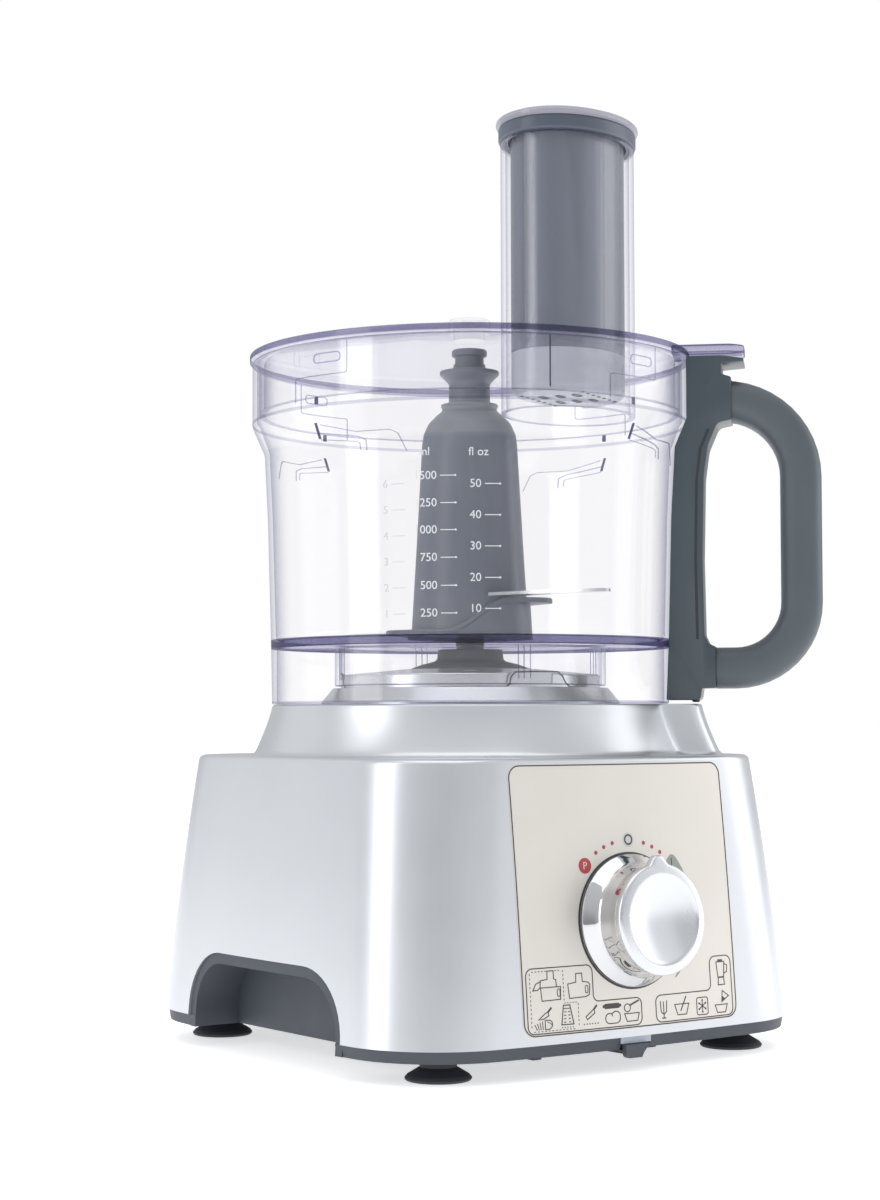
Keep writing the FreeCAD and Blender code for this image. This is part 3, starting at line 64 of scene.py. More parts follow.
def on_handle(out, side, level):
    """A point by its distance from the axis toward the handle, and to the side of that line."""
    return placed(
        out * cos(HANDLE_TURN) - side * sin(HANDLE_TURN),
        out * sin(HANDLE_TURN) + side * cos(HANDLE_TURN),
        level,
    )


def angles(count):
    return [FULL * step / count for step in range(count)]


# ---- mesh helpers

CREASE = 32
WELD = 0.002


def add_mesh(name, points, faces):
    """A mesh object with its close points welded and its faces turned outwards."""
    mesh = bpy.data.meshes.new(name)
    mesh.from_pydata([tuple(point) for point in points], [], faces)
    tool = bmesh.new()
    tool.from_mesh(mesh)
    bmesh.ops.remove_doubles(tool, verts=tool.verts, dist=WELD * MM)
    bmesh.ops.recalc_face_normals(tool, faces=tool.faces)
    tool.to_mesh(mesh)
    tool.free()
    thing = bpy.data.objects.new(name, mesh)
    bpy.context.scene.collection.objects.link(thing)
    return thing


def shade(mesh, crease):
    """Smooth shading, with the edges that turn more than crease degrees kept sharp."""
    mesh.shade_smooth()
    mesh.set_sharp_from_angle(angle=radians(crease))


def make_piece(name, points, faces, body, slot, materials, crease=CREASE):
    """A visual piece; materials is one name or several with spaces between."""
    piece = add_mesh(name, points, faces)
    for material in materials.split():
        piece.data.materials.append(MATERIALS[material])
    shade(piece.data, crease)
    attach(piece, body)
    return piece


def apply_modifiers(piece, crease):
    graph = bpy.context.evaluated_depsgraph_get()
    mesh = bpy.data.meshes.new_from_object(piece.evaluated_get(graph))
    piece.modifiers.clear()
    piece.data = mesh
    shade(mesh, crease)


def bevel(piece, width, limit=40):
    step = piece.modifiers.new("edges", "BEVEL")
    step.width = width * MM
    step.segments = 3
    step.limit_method = "ANGLE"
    step.angle_limit = radians(limit)
    apply_modifiers(piece, CREASE)


def cut_away(piece, cutter, crease=CREASE):
    step = piece.modifiers.new("cut", "BOOLEAN")
    step.object = cutter
    step.solver = "EXACT"
    step.operation = "DIFFERENCE"
    apply_modifiers(piece, crease)
    bpy.data.objects.remove(cutter)


def rounded(corners, steps=6):
    """A closed outline from (a, b) corners, or (a, b, radius) where the corner is an arc."""
    outline = []
    count = len(corners)
    for place, corner in enumerate(corners):
        here = Vector(corner[:2])
        if len(corner) < 3:
            outline.append(here)
            continue
        before = (Vector(corners[place - 1][:2]) - here).normalized()
        after = (Vector(corners[(place + 1) % count][:2]) - here).normalized()
        half = before.angle(after) / 2
        reach = corner[2] / tan(half)
        centre = here + (before + after).normalized() * corner[2] / sin(half)
        start = here + before * reach - centre
        sweep = start.angle_signed(here + after * reach - centre)
        for step in range(steps + 1):
            outline.append(centre + Matrix.Rotation(-sweep * step / steps, 2) @ start)
    return outline


def loft(rings, closed_path=False):
    """Points and faces of a skin through rings that have the same count of points."""
    width = len(rings[0])
    points = [point for ring in rings for point in ring]
    faces = []
    for row in range(len(rings) if closed_path else len(rings) - 1):
        low = row * width
        high = (row + 1) % len(rings) * width
        for place in range(width):
            ahead = (place + 1) % width
            faces.append((low + place, low + ahead, high + ahead, high + place))
    if not closed_path:
        faces.append(tuple(reversed(range(width))))
        top = (len(rings) - 1) * width
        faces.append(tuple(range(top, top + width)))
    return points, faces


def turned_piece(name, outline, body, slot, materials, turns=TURN, crease=CREASE):
    """A closed outline of (radius, level) turned about the axis."""
    rings = [[polar(radius, angle, level) for radius, level in outline] for angle in angles(turns)]
    return make_piece(name, *loft(rings, True), body, slot, materials, crease)


def mark_faces(piece, mark):
    """Gives each face the material that mark(radius, level) names for its middle."""
    for face in piece.data.polygons:
        middle = (face.center - AXIS) / MM
        face.material_index = mark(hypot(middle.x, middle.y), middle.z)


# ---- shader nodes


def set_sockets(tree, node, sockets):
    """Gives each named socket a number, a colour or a link from another node."""
    for name, value in sockets.items():
        socket = node.inputs[name.replace("_", " ")]
        if isinstance(value, bpy.types.NodeSocket):
            tree.links.new(value, socket)
        else:
            socket.default_value = value


def add_node(tree, kind, operation=None, **sockets):
    node = tree.nodes.new("ShaderNode" + kind)
    if operation:
        node.operation = operation
    set_sockets(tree, node, sockets)
    return node


def add_ramp(tree, source, first, dark, last, light):
    ramp = add_node(tree, "ValToRGB", Fac=source)
    for element, place, colour in zip(ramp.color_ramp.elements, (first, last), (dark, light)):
        element.position = place
        element.color = (*colour, 1)
    return ramp.outputs["Color"]


def map_range(tree, source, low, high, to_low, to_high, kind="LINEAR"):
    scale = add_node(tree, "MapRange", Value=source, From_Min=low, From_Max=high, To_Min=to_low,
                     To_Max=to_high)
    scale.interpolation_type = kind
    return scale.outputs["Result"]


def mix_shaders(tree, share, first, second):
    mix = add_node(tree, "MixShader", Fac=share)
    tree.links.new(first.outputs[0], mix.inputs[1])
    tree.links.new(second.outputs[0], mix.inputs[2])
    return mix.outputs[0]


# ---- camera and light

CAMERA_PLACE = placed(-625.9, -841.5, 144.5)
CAMERA_TURNS = (-35.9, 92.86, -0.14)
CAMERA_LENS = 69.81
SENSOR = 36
SKY_STRENGTH = 0.72
TOWARD_CAMERA = (-0.58, -0.77, -0.26)
FLOOR_HALF = 12
FLOOR_GLOW = 0.60


def make_camera():
    data = bpy.data.cameras.new("camera")
    data.lens = CAMERA_LENS
    data.sensor_width = SENSOR
    data.clip_start = 0.05
    data.clip_end = 30
    camera = bpy.data.objects.new("camera", data)
    bpy.context.scene.collection.objects.link(camera)
    pan, tip, roll = [radians(turn) for turn in CAMERA_TURNS]
    turn = Matrix.Rotation(pan, 4, "Z") @ Matrix.Rotation(tip, 4, "X") @ Matrix.Rotation(roll, 4, "Z")
    camera.matrix_world = Matrix.Translation(CAMERA_PLACE) @ turn
    bpy.context.scene.camera = camera


def make_world():
    """The camera sees pure white. Everything else gets a soft sky that dims toward the camera."""
    world = bpy.data.worlds.new("studio")
    world.use_nodes = True
    bpy.context.scene.world = world
    tree = world.node_tree
    tree.nodes.clear()
    spot = add_node(tree, "TexCoord").outputs["Generated"]
    split = add_node(tree, "SeparateXYZ", Vector=spot)
    height = map_range(tree, split.outputs["Z"], -1, 1, 0, 1)
    sky = add_ramp(tree, height, 0.35, (0.62, 0.64, 0.68), 0.9, (1, 1, 1))
    toward = add_node(tree, "VectorMath", "DOT_PRODUCT", Vector=spot)
    toward.inputs[1].default_value = TOWARD_CAMERA
    dim = map_range(tree, toward.outputs["Value"], 0.72, 1, 1, 0.5, "SMOOTHSTEP")
    dimmed = add_node(tree, "VectorMath", "SCALE", Vector=sky, Scale=dim)
    lit = add_node(tree, "Background", Color=dimmed.outputs[0], Strength=SKY_STRENGTH)
    seen = add_node(tree, "Background", Color=(1, 1, 1, 1), Strength=1)
    path = add_node(tree, "LightPath").outputs["Is Camera Ray"]
    add_node(tree, "OutputWorld", Surface=mix_shaders(tree, path, lit, seen))


def softbox(name, place, aim_level, wide, high, power):
    data = bpy.data.lights.new(name, "AREA")
    data.shape = "RECTANGLE"
    data.size = wide
    data.size_y = high
    data.energy = power
    lamp = bpy.data.objects.new(name, data)
    bpy.context.scene.collection.objects.link(lamp)
    lamp.location = place
    lamp.rotation_euler = (Vector((0, 0, aim_level)) - Vector(place)).to_track_quat("-Z", "Y").to_euler()
    lamp.visible_camera = False


def make_light():
    scene = bpy.context.scene
    scene.view_settings.view_transform = "Standard"
    scene.cycles.transparent_max_bounces = 40
    make_world()
    softbox("left_softbox", (-1.7, 0.22, 0.45), 0.1, 0.6, 1.7, 7)
    softbox("top_softbox", (-0.2, -0.2, 1.7), 0.1, 1.5, 1.5, 6)
    softbox("right_softbox", (1.6, -0.62, 0.5), 0.2, 1.1, 1.6, 6.5)
    softbox("front_softbox", (1.2, -1.6, 0.7), 0.2, 0.9, 1.4, 1.2)
    softbox("rear_softbox", (-0.9, 1.6, 0.6), 0.1, 1.2, 1.4, 1.2)


def make_floor():
    half = FLOOR_HALF
    corners = [(-half, -half, 0), (half, -half, 0), (half, half, 0), (-half, half, 0)]
    floor = add_mesh("floor", corners, [(0, 1, 2, 3)])
    floor.data.materials.append(MATERIALS["floor_white"])


# ---- materials

MATERIALS = {}
SMUDGE = 18
# Most of a noise texture's values lie between these two.
NOISE_LOW, NOISE_HIGH = 0.3, 0.7


def new_material(name):
    material = bpy.data.materials.new(name)
    material.use_nodes = True
    MATERIALS[name] = material
    tree = material.node_tree
    return tree, tree.nodes["Principled BSDF"]


def add_noise(tree, scale, detail, rough=0.5, stretch=None):
    source = add_node(tree, "TexCoord").outputs["Object"]
    if stretch:
        source = add_node(tree, "Mapping", Vector=source, Scale=stretch).outputs["Vector"]
    noise = add_node(tree, "TexNoise", Vector=source, Scale=scale, Detail=detail, Roughness=rough)
    return noise.outputs["Fac"]


def surface(name, colour, rough, vary, metal, grain, relief, stretch=None, coat=0, rough_vary=0.05):
    """A moulded or metal surface: slow colour drift, uneven gloss and a fine grain."""
    tree, shader = new_material(name)
    dark = [channel * (1 - vary) for channel in colour]
    light = [min(1, channel * (1 + vary)) for channel in colour]
    drift = add_ramp(tree, add_noise(tree, SMUDGE, 4), NOISE_LOW, dark, NOISE_HIGH, light)
    uneven = add_noise(tree, 3 * SMUDGE, 5, 0.6, stretch)
    gloss = map_range(tree, uneven, NOISE_LOW, NOISE_HIGH, rough - rough_vary, rough + rough_vary)
    fine = add_noise(tree, grain, 4, 0.6, stretch)
    bump = add_node(tree, "Bump", Height=fine, Distance=relief * MM, Strength=0.4)
    set_sockets(tree, shader, {
        "Base Color": drift, "Roughness": gloss, "Normal": bump.outputs["Normal"], "Metallic": metal,
        "Coat Weight": coat, "Coat Roughness": 0.08,
    })
    return shader


def clear_material(name, face, edge, blend, rough):
    """Clear plastic wall: light passes, tinted where it crosses the wall at a low angle."""
    tree, shader = new_material(name)
    tree.nodes.remove(shader)
    slant = add_node(tree, "LayerWeight", Blend=blend).outputs["Facing"]
    clear = add_node(tree, "BsdfTransparent", Color=add_ramp(tree, slant, 0.42, face, 0.95, edge))
    uneven = map_range(tree, add_noise(tree, 30, 4), NOISE_LOW, NOISE_HIGH, rough * 0.6, rough * 1.4)
    gloss = add_node(tree, "BsdfGlossy", Color=(1, 1, 1, 1), Roughness=uneven)
    mirror = map_range(tree, slant, 0.35, 1, 0.03, 0.32, "SMOOTHERSTEP")
    output = tree.nodes["Material Output"]
    tree.links.new(mix_shaders(tree, mirror, clear, gloss), output.inputs["Surface"])


def make_materials():
    """Each line: name, colour, roughness, colour drift, metal, grain, relief in millimetres."""
    surface("silver_paint", (0.68, 0.70, 0.73), 0.31, 0.015, 0.80, 1100, 0.0015, coat=0.12, rough_vary=0.02)
    surface("slate_plastic", (0.058, 0.068, 0.085), 0.52, 0.08, 0, 1400, 0.02)
    surface("bracket_plastic", (0.055, 0.074, 0.088), 0.32, 0.05, 0, 900, 0.003, rough_vary=0.03)
    # groove_shade_dark is painted shade: the dark inside the handle bracket's groove, laid on its flat
    # sides.
    surface("groove_shade_dark", (0.022, 0.028, 0.034), 0.5, 0.1, 0, 1300, 0.004)
    surface("grip_plastic", (0.085, 0.104, 0.118), 0.46, 0.08, 0, 1500, 0.02)
    surface("hub_plastic", (0.150, 0.165, 0.198), 0.36, 0.06, 0, 1200, 0.012)
    pusher = surface("pusher_plastic", (0.090, 0.107, 0.148), 0.24, 0.04, 0, 600, 0.0008, rough_vary=0.02)
    pusher.inputs["IOR"].default_value = 1.95
    # pusher_foot is painted reflection: the pusher's pale colour below the lid's edge stands for the lid
    # wall's reflection in front of it.
    surface("pusher_foot", (0.40, 0.42, 0.47), 0.30, 0.05, 0, 1000, 0.006)
    surface("collar_plastic", (0.080, 0.097, 0.130), 0.34, 0.06, 0, 1200, 0.012)
    surface("foot_rubber", (0.042, 0.046, 0.056), 0.62, 0.15, 0, 900, 0.05)
    surface("chrome", (0.66, 0.67, 0.69), 0.055, 0.02, 1, 300, 0.001, rough_vary=0.02)
    surface("cap_silver", (0.70, 0.715, 0.745), 0.26, 0.015, 0.9, 1100, 0.0015, rough_vary=0.02)
    surface("seat_silver", (0.66, 0.675, 0.70), 0.24, 0.03, 0.8, 2000, 0.004)
    surface("champagne", (0.735, 0.70, 0.65), 0.34, 0.025, 0.45, 420, 0.006, stretch=(1, 1, 14))
    # edge_shade_dark is painted shade: dark lines for the shade in the gaps round the panel and under the
    # knob collar, and along the seat's raised keys.
    surface("edge_shade_dark", (0.055, 0.055, 0.06), 0.4, 0.1, 0, 900, 0.01)
    surface("blade_steel", (0.62, 0.63, 0.65), 0.20, 0.04, 1, 700, 0.006, stretch=(1, 9, 1))
    surface("machine_steel", (0.50, 0.51, 0.53), 0.28, 0.06, 1, 800, 0.01)
    surface("laminated_iron", (0.22, 0.21, 0.20), 0.5, 0.12, 0.8, 900, 0.05, stretch=(1, 1, 12))
    surface("copper", (0.72, 0.28, 0.13), 0.30, 0.12, 1, 1100, 0.05, stretch=(1, 1, 8))
    surface("carbon", (0.03, 0.03, 0.03), 0.6, 0.2, 0, 1500, 0.03)
    surface("board_green", (0.02, 0.16, 0.07), 0.35, 0.15, 0, 300, 0.02)
    surface("nylon", (0.72, 0.72, 0.68), 0.45, 0.04, 0, 700, 0.02)
    surface("belt_rubber", (0.022, 0.022, 0.024), 0.6, 0.2, 0, 800, 0.04)
    surface("label_grey", (0.44, 0.49, 0.56), 0.4, 0.04, 0, 900, 0.01)
    surface("display_glass", (0.03, 0.035, 0.03), 0.12, 0.1, 0, 500, 0.002)
    surface("key_grey", (0.16, 0.18, 0.2), 0.45, 0.08, 0, 1000, 0.02)
    surface("ink_dark", (0.055, 0.055, 0.06), 0.5, 0.1, 0, 1500, 0.004)
    surface("ink_red", (0.43, 0.055, 0.06), 0.45, 0.08, 0, 1500, 0.004)
    surface("ink_pale", (0.62, 0.62, 0.60), 0.45, 0.04, 0, 1500, 0.004)
    surface("ink_wedge", (0.30, 0.33, 0.31), 0.45, 0.04, 0, 1500, 0.004)
    surface("mark_white", (0.70, 0.71, 0.74), 0.35, 0.03, 0, 1500, 0.004)
    floor = surface("floor_white", (0.90, 0.90, 0.91), 0.6, 0.01, 0, 200, 0.01)
    floor.inputs["Emission Color"].default_value = (1, 1, 1, 1)
    floor.inputs["Emission Strength"].default_value = FLOOR_GLOW
    clear_material("clear_plastic", (0.990, 0.989, 0.994), (0.74, 0.74, 0.82), 0.30, 0.05)
    clear_material("clear_edge", (0.30, 0.29, 0.44), (0.08, 0.075, 0.16), 0.35, 0.08)
    clear_material("clear_cap", (0.60, 0.60, 0.65), (0.78, 0.78, 0.84), 0.35, 0.05)
    clear_material("clear_mark", (0.90, 0.90, 0.93), (0.75, 0.75, 0.8), 0.4, 0.1)
    clear_material("clear_line", (0.72, 0.715, 0.80), (0.46, 0.455, 0.58), 0.4, 0.08)


NODES_BY_FINISH = {
    "silver_paint": "base_housing",
    "champagne": "control_panel",
    "slate_plastic": "base_tray display_drawer drive_coupling",
    "seat_silver": "bowl_seat",
    "foot_rubber": "foot_front_left foot_front_right foot_rear_left foot_rear_right cord_gland",
    "machine_steel": "load_cells base_screws motor_lower_frame motor_lower_bearing motor_upper_frame "
                     "motor_upper_bearing motor_tie_bolts motor_shaft spindle_lower_bearing "
                     "spindle_upper_bearing drive_spindle",
    "chrome": "knob_collar",
    "cap_silver": "knob_cap",
    "nylon": "knob_shaft cooling_fan motor_pulley spindle_housing driven_pulley",
    "key_grey": "rotary_switch zero_key unit_key",
    "board_green": "circuit_board",
    "display_glass": "display_window",
    "label_grey": "pull_label",
    "laminated_iron": "motor_stator armature",
    "copper": "motor_windings commutator",
    "carbon": "carbon_brushes",
    "belt_rubber": "drive_belt",
    "clear_plastic": "bowl lid pusher_cap",
    "bracket_plastic": "handle_bracket interlock_rod",
    "grip_plastic": "handle_grip",
    "hub_plastic": "knife_hub drive_post",
    "blade_steel": "lower_blade upper_blade",
    "pusher_plastic": "pusher_body",
    "collar_plastic": "pusher_collar",
}


def dress_nodes():
    for finish, nodes in NODES_BY_FINISH.items():
        for node in nodes.split():
            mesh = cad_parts[node].data
            if not mesh.materials:
                mesh.materials.append(MATERIALS[finish])
            for place in range(len(mesh.materials)):
                mesh.materials[place] = MATERIALS[finish]


# ---- surfaces that marks lie on


def front_surface():
    """A function from (x, level) to the front panel's surface point and its normal."""
    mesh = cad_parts["control_panel"].data
    corners = [vertex.co.copy() for vertex in mesh.vertices]
    tree = BVHTree.FromPolygons(corners, [tuple(face.vertices) for face in mesh.polygons])

    def at(x, level):
        start = placed(x, -200, level)
        point, normal, _, _ = tree.ray_cast(start, Vector((0, 1, 0)))
        if point is None:
            point, normal, _, _ = tree.find_nearest(placed(x, -112, level))
        return point, normal

    return at


def turned_surface(radius_at, angle):
    """A function from (distance round, level) to a turned wall, starting at an angle in degrees."""

    def at(x, level):
        radius = radius_at(level)
        here = radians(angle) + x / radius
        return polar(radius, here, level), Vector((cos(here), sin(here), 0))

    return at


def divided(points, closed):
    """The same path with no run longer than 4 mm, so that it follows a curved surface."""
    path = []
    for place, here in enumerate(points):
        path.append(here)
        if place < len(points) - 1 or closed:
            ahead = points[(place + 1) % len(points)]
            steps = ceil((ahead - here).length / 4)
            path += [here.lerp(ahead, step / steps) for step in range(1, steps)]
    return path


def stroke(points, width, closed=False):
    """A flat line of that width through (x, level) points, with mitred turns."""
    points = divided([Vector(p) for p in points], closed)
    count = len(points)
    corners = []
    for place, here in enumerate(points):
        before = points[place - 1] if place or closed else None
        after = points[(place + 1) % count] if place < count - 1 or closed else None
        ahead = (after - here).normalized() if after is not None else (here - before).normalized()
        behind = (here - before).normalized() if before is not None else ahead
        along = (ahead + behind).normalized()
        side = Vector((-along.y, along.x))
        reach = width / 2 / max(0.4, side.dot(Vector((-ahead.y, ahead.x))))
        corners.append(here + side * reach)
        corners.append(here - side * reach)
    faces = []
    for place in range(count if closed else count - 1):
        low = 2 * place
        high = 2 * ((place + 1) % count)
        faces.append((low, low + 1, high + 1, high))
    return corners, faces


def circle_points(x, level, radius, steps=28):
    return [(x + radius * sin(angle), level + radius * cos(angle)) for angle in angles(steps)]


def disc(x, level, radius, steps=28):
    return [Vector(p) for p in circle_points(x, level, radius, steps)], [tuple(range(steps))]


def area(points):
    return [Vector(p) for p in points], [tuple(range(len(points)))]


def lettering(words, size, x, level, align="CENTER"):
    curve = bpy.data.curves.new("words", "FONT")
    curve.body = words
    curve.size = size
    curve.align_x = align
    curve.align_y = "CENTER"
    curve.resolution_u = 4
    thing = bpy.data.objects.new("words", curve)
    bpy.context.scene.collection.objects.link(thing)
    mesh = bpy.data.meshes.new_from_object(thing)
    points = [Vector((vertex.co.x + x, vertex.co.y + level)) for vertex in mesh.vertices]
    faces = [tuple(face.vertices) for face in mesh.polygons]
    bpy.data.objects.remove(thing)
    bpy.data.meshes.remove(mesh)
    bpy.data.curves.remove(curve)
    return points, faces


SUNK = 0.05


def laid_on(name, shapes, surface, body, slot, material, proud=0.07):
    """One thin closed piece of flat shapes laid on a surface."""
    points, faces = [], []
    for corners, outlines in shapes:
        top = len(points)
        low = top + len(corners)
        spots = [surface(*corner) for corner in corners]
        points += [point + normal * proud * MM for point, normal in spots]
        points += [point - normal * SUNK * MM for point, normal in spots]
        faces += [tuple(top + place for place in outline) for outline in outlines]
        faces += [tuple(low + place for place in reversed(outline)) for outline in outlines]
        faces += rim_faces(outlines, top, low)
    make_piece(name, points, faces, body, slot, material, 50)


def printed(name, shapes, surface, ink, proud=0.07):
    laid_on(name, shapes, surface, "base", "champagne_panel", ink, proud)


def moulded(name, shapes, surface, body, material, proud=0.3):
    laid_on(name, shapes, surface, body, "clear_plastic", material, proud)


def rim_faces(outlines, top, low):
    """Side faces between a flat shape's front at top and its back at low."""
    edges = {}
    for outline in outlines:
        for place, here in enumerate(outline):
            edges[(here, outline[(place + 1) % len(outline)])] = True
    return [(top + b, top + a, low + a, low + b) for a, b in edges if (b, a) not in edges]


# ---- base

HOUSING_LEVELS = ((14.1, 111.2), (71, 106.6), (125.3, 100.9))
CORNER = 41.3
BOW = 2.6
WALL = 2.8
DECK_LEVEL = 127.5
DECK_EDGE = 2.2
NECK_RADIUS = 88.9
NECK_LEVEL = 149.7
NECK_SPREAD = 8.3
NECK_POWER = 1.3
LUG_RADIUS = 103.6
ROD_REACH = 101.2
LUG_FLAT = 11
LUG_BLEND = 13
ROUND_STEPS = 288
ROD_HOLE = 2.3
SEAT_EDGE = 84
SEAT_OPENING = 33.3
# The side grip's arched opening as (y, level) corners with their radii.
ARCH = ((-62.6, 0), (-62.6, 42.8, 29), (57.7, 42.8, 24.7), (57.7, 0))


def square_radius(half, angle):
    """Distance from the axis to the base's outline: bowed sides and round corners."""
    inner = half - CORNER
    side_radius = (inner ** 2 + BOW ** 2) / (2 * BOW)
    bend = 2 * atan(BOW / inner)
    behind = half + BOW - side_radius
    off = abs((angle + pi / 4) % (pi / 2) - pi / 4)
    reach = behind * cos(off) + sqrt(side_radius ** 2 - (behind * sin(off)) ** 2)
    if reach * sin(off) <= inner:
        return reach
    corner_radius = (half - inner) / (cos(bend) - sin(bend))
    centre = sqrt(2) * (half - corner_radius * cos(bend))
    rest = pi / 4 - off
    return centre * cos(rest) + sqrt(corner_radius ** 2 - (centre * sin(rest)) ** 2)


def half_at(level):
    """The base's half width at a level, on the curve through its three stated levels."""
    total = 0
    for here, half in HOUSING_LEVELS:
        share = half
        for other, _ in HOUSING_LEVELS:
            if other != here:
                share *= (level - other) / (here - other)
        total += share
    return total


def smooth(share):
    share = min(1, max(0, share))
    return share * share * (3 - 2 * share)


def neck_radius(level, angle):
    fall = max(0, (NECK_LEVEL - level) / (NECK_LEVEL - DECK_LEVEL))
    plain = NECK_RADIUS + NECK_SPREAD * fall ** NECK_POWER
    off = abs((angle - HANDLE_TURN + pi) % FULL - pi) * plain
    lug = LUG_RADIUS + NECK_SPREAD * fall ** NECK_POWER
    return plain + (lug - plain) * (1 - smooth((off - LUG_FLAT) / LUG_BLEND))


def housing_ring(radius_at, level):
    return [polar(radius_at(angle), angle, level) for angle in angles(ROUND_STEPS)]


def arch_cutter(side):
    arch = rounded(ARCH, 12)
    rings = [[placed(side * reach, y, level) for y, level in arch] for reach in (70, 140)]
    return add_mesh("cutter", *loft(rings))


def rod_hole_cutter():
    """The hole in the lug that the safety rod's end goes down into."""
    rings = []
    for level in (140, 155):
        centre = polar(ROD_REACH, HANDLE_TURN, level)
        rings.append([centre + Vector((cos(turn), sin(turn), 0)) * ROD_HOLE * MM for turn in angles(24)])
    return add_mesh("cutter", *loft(rings))


def base_housing():
    """The silver casing: sloping sides, a flat deck, and the flared neck with the handle's lug."""
    low, high = HOUSING_LEVELS[0][0], HOUSING_LEVELS[-1][0]
    rings = []

    def add(level, radius_at):
        rings.append(housing_ring(radius_at, level))

    for step in range(13):
        level = low + (high - low) * step / 12
        add(level, lambda angle: square_radius(half_at(level), angle))
    for step in range(1, 6):
        turn = radians(90 * step / 5)
        shrink = DECK_EDGE * (1 - cos(turn))
        add(high + DECK_EDGE * sin(turn), lambda angle: square_radius(half_at(high) - shrink, angle))
    edge_half = half_at(high) - DECK_EDGE
    for share in (0.35, 0.7, 0.9):
        add(DECK_LEVEL + 0.05 * share, lambda angle: (1 - share) * square_radius(edge_half, angle)
            + share * (neck_radius(DECK_LEVEL, angle) + 1.2))
    for step in range(9):
        turn = radians(90 * step / 8)
        level = DECK_LEVEL + 2.2 * (1 - cos(turn))
        flare = 1.9 * (1 - sin(turn))
        add(level + 0.05, lambda angle: neck_radius(level, angle) + flare)
    first = DECK_LEVEL + 2.6
    for step in range(9):
        level = first + (NECK_LEVEL - 1.0 - first) * step / 8
        add(level, lambda angle: neck_radius(level, angle))
    for step in range(1, 5):
        turn = radians(90 * step / 4)
        level = NECK_LEVEL - 1.0 + sin(turn)
        add(level, lambda angle: neck_radius(level, angle) - 1 + cos(turn))
    under = NECK_LEVEL - WALL
    for radius, level in ((SEAT_EDGE, NECK_LEVEL), (SEAT_OPENING, NECK_LEVEL), (SEAT_OPENING, under),
                          (SEAT_EDGE, under)):
        add(level, lambda angle: radius)
    for level in (under - 3, DECK_LEVEL + 6, DECK_LEVEL + 0.5):
        add(level, lambda angle: neck_radius(level, angle) - WALL)
    add(DECK_LEVEL - WALL, lambda angle: neck_radius(DECK_LEVEL, angle) - WALL)
    for step in range(6):
        level = high - WALL - (high - WALL - low) * step / 5
        add(level, lambda angle: square_radius(half_at(level) - WALL, angle))
    housing = make_piece("housing_shell", *loft(rings, True), "base", "silver_casing", "silver_paint", 38)
    for cutter in (arch_cutter(-1), arch_cutter(1), rod_hole_cutter()):
        cut_away(housing, cutter, 38)
    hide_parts("base_housing")


# ---- control panel marks

PANEL_LEFT, PANEL_RIGHT, PANEL_LOW, PANEL_HIGH = -57.5, 57, 17.3, 125.1
BORDER_INSET = 0.6
BORDER_ROUND = 5
DIAL_RING = 27.35
DIAL_LEVEL = 60.8
PULSE_TURN = -44.5
WEDGE_STEPS = 32


def around_dial(turn, radius):
    """A point at a clock angle in degrees and a distance from the dial's middle."""
    angle = radians(turn)
    return radius * sin(angle), DIAL_LEVEL + radius * cos(angle)


def panel_border(surface):
    left, right = PANEL_LEFT + BORDER_INSET, PANEL_RIGHT - BORDER_INSET
    low, high = PANEL_LOW + BORDER_INSET, PANEL_HIGH - BORDER_INSET
    corners = rounded([(x, level, BORDER_ROUND) for x, level in (
        (left, low), (right, low), (right, high), (left, high))], 8)
    # Painted shade: a dark line just inside the panel's edge for the shade in the gap round the panel.
    printed("panel_border", [stroke(corners, 0.5, True)], surface, "edge_shade_dark", 0.1)
    # Painted shadow: a dark ring on the panel where the knob collar's flared foot shades the gap under it.
    ring = circle_points(0, DIAL_LEVEL, DIAL_RING, 72)
    printed("dial_gap_shade", [stroke(ring, 0.9, True)], surface, "edge_shade_dark", 0.09)


def dial_marks(surface):
    """Pulse and the slow speeds in red, a ring for off, and a wedge that thins toward full speed."""
    pulse = around_dial(PULSE_TURN, 32.2)
    red = [disc(*pulse, 3.2)]
    for turn in (-13.5, -22, -30.5, 16.5, 25, 33.5):
        red.append(disc(*around_dial(turn, 32.5), 0.85, 14))
    printed("dial_red_marks", red, surface, "ink_red")
    zero = around_dial(1.8, 32.8)
    printed("dial_zero_halo", [disc(*zero, 3.1)], surface, "ink_pale", 0.06)
    printed("dial_zero_ring", [stroke(circle_points(*zero, 1.9, 24), 0.7, True)], surface, "ink_dark", 0.1)
    outer, inner = [], []
    for step in range(WEDGE_STEPS + 1):
        share = step / WEDGE_STEPS
        turn = 42 + 96 * share ** 1.5
        start = min(1, share / 0.16)
        wide = (3.4 * (1 - share) ** 0.8 + 0.25) * sqrt(1 - (1 - start) ** 2) + 0.02
        outer.append(Vector(around_dial(turn, 33.0 + wide)))
        inner.append(Vector(around_dial(turn, 33.0 - wide)))
    last = 2 * WEDGE_STEPS + 1
    faces = [(step, step + 1, last - step - 1, last - step) for step in range(WEDGE_STEPS)]
    printed("dial_wedge", [(outer + inner[::-1], faces)], surface, "ink_wedge", 0.06)
    one = around_dial(46.5, 33.2)
    printed("dial_pulse_mark", [lettering("P", 4.3, pulse[0], pulse[1] - 0.1)], surface, "ink_pale", 0.11)
    printed("dial_one_mark", [lettering("1", 4.4, one[0], one[1] - 0.1)], surface, "ink_dark", 0.11)


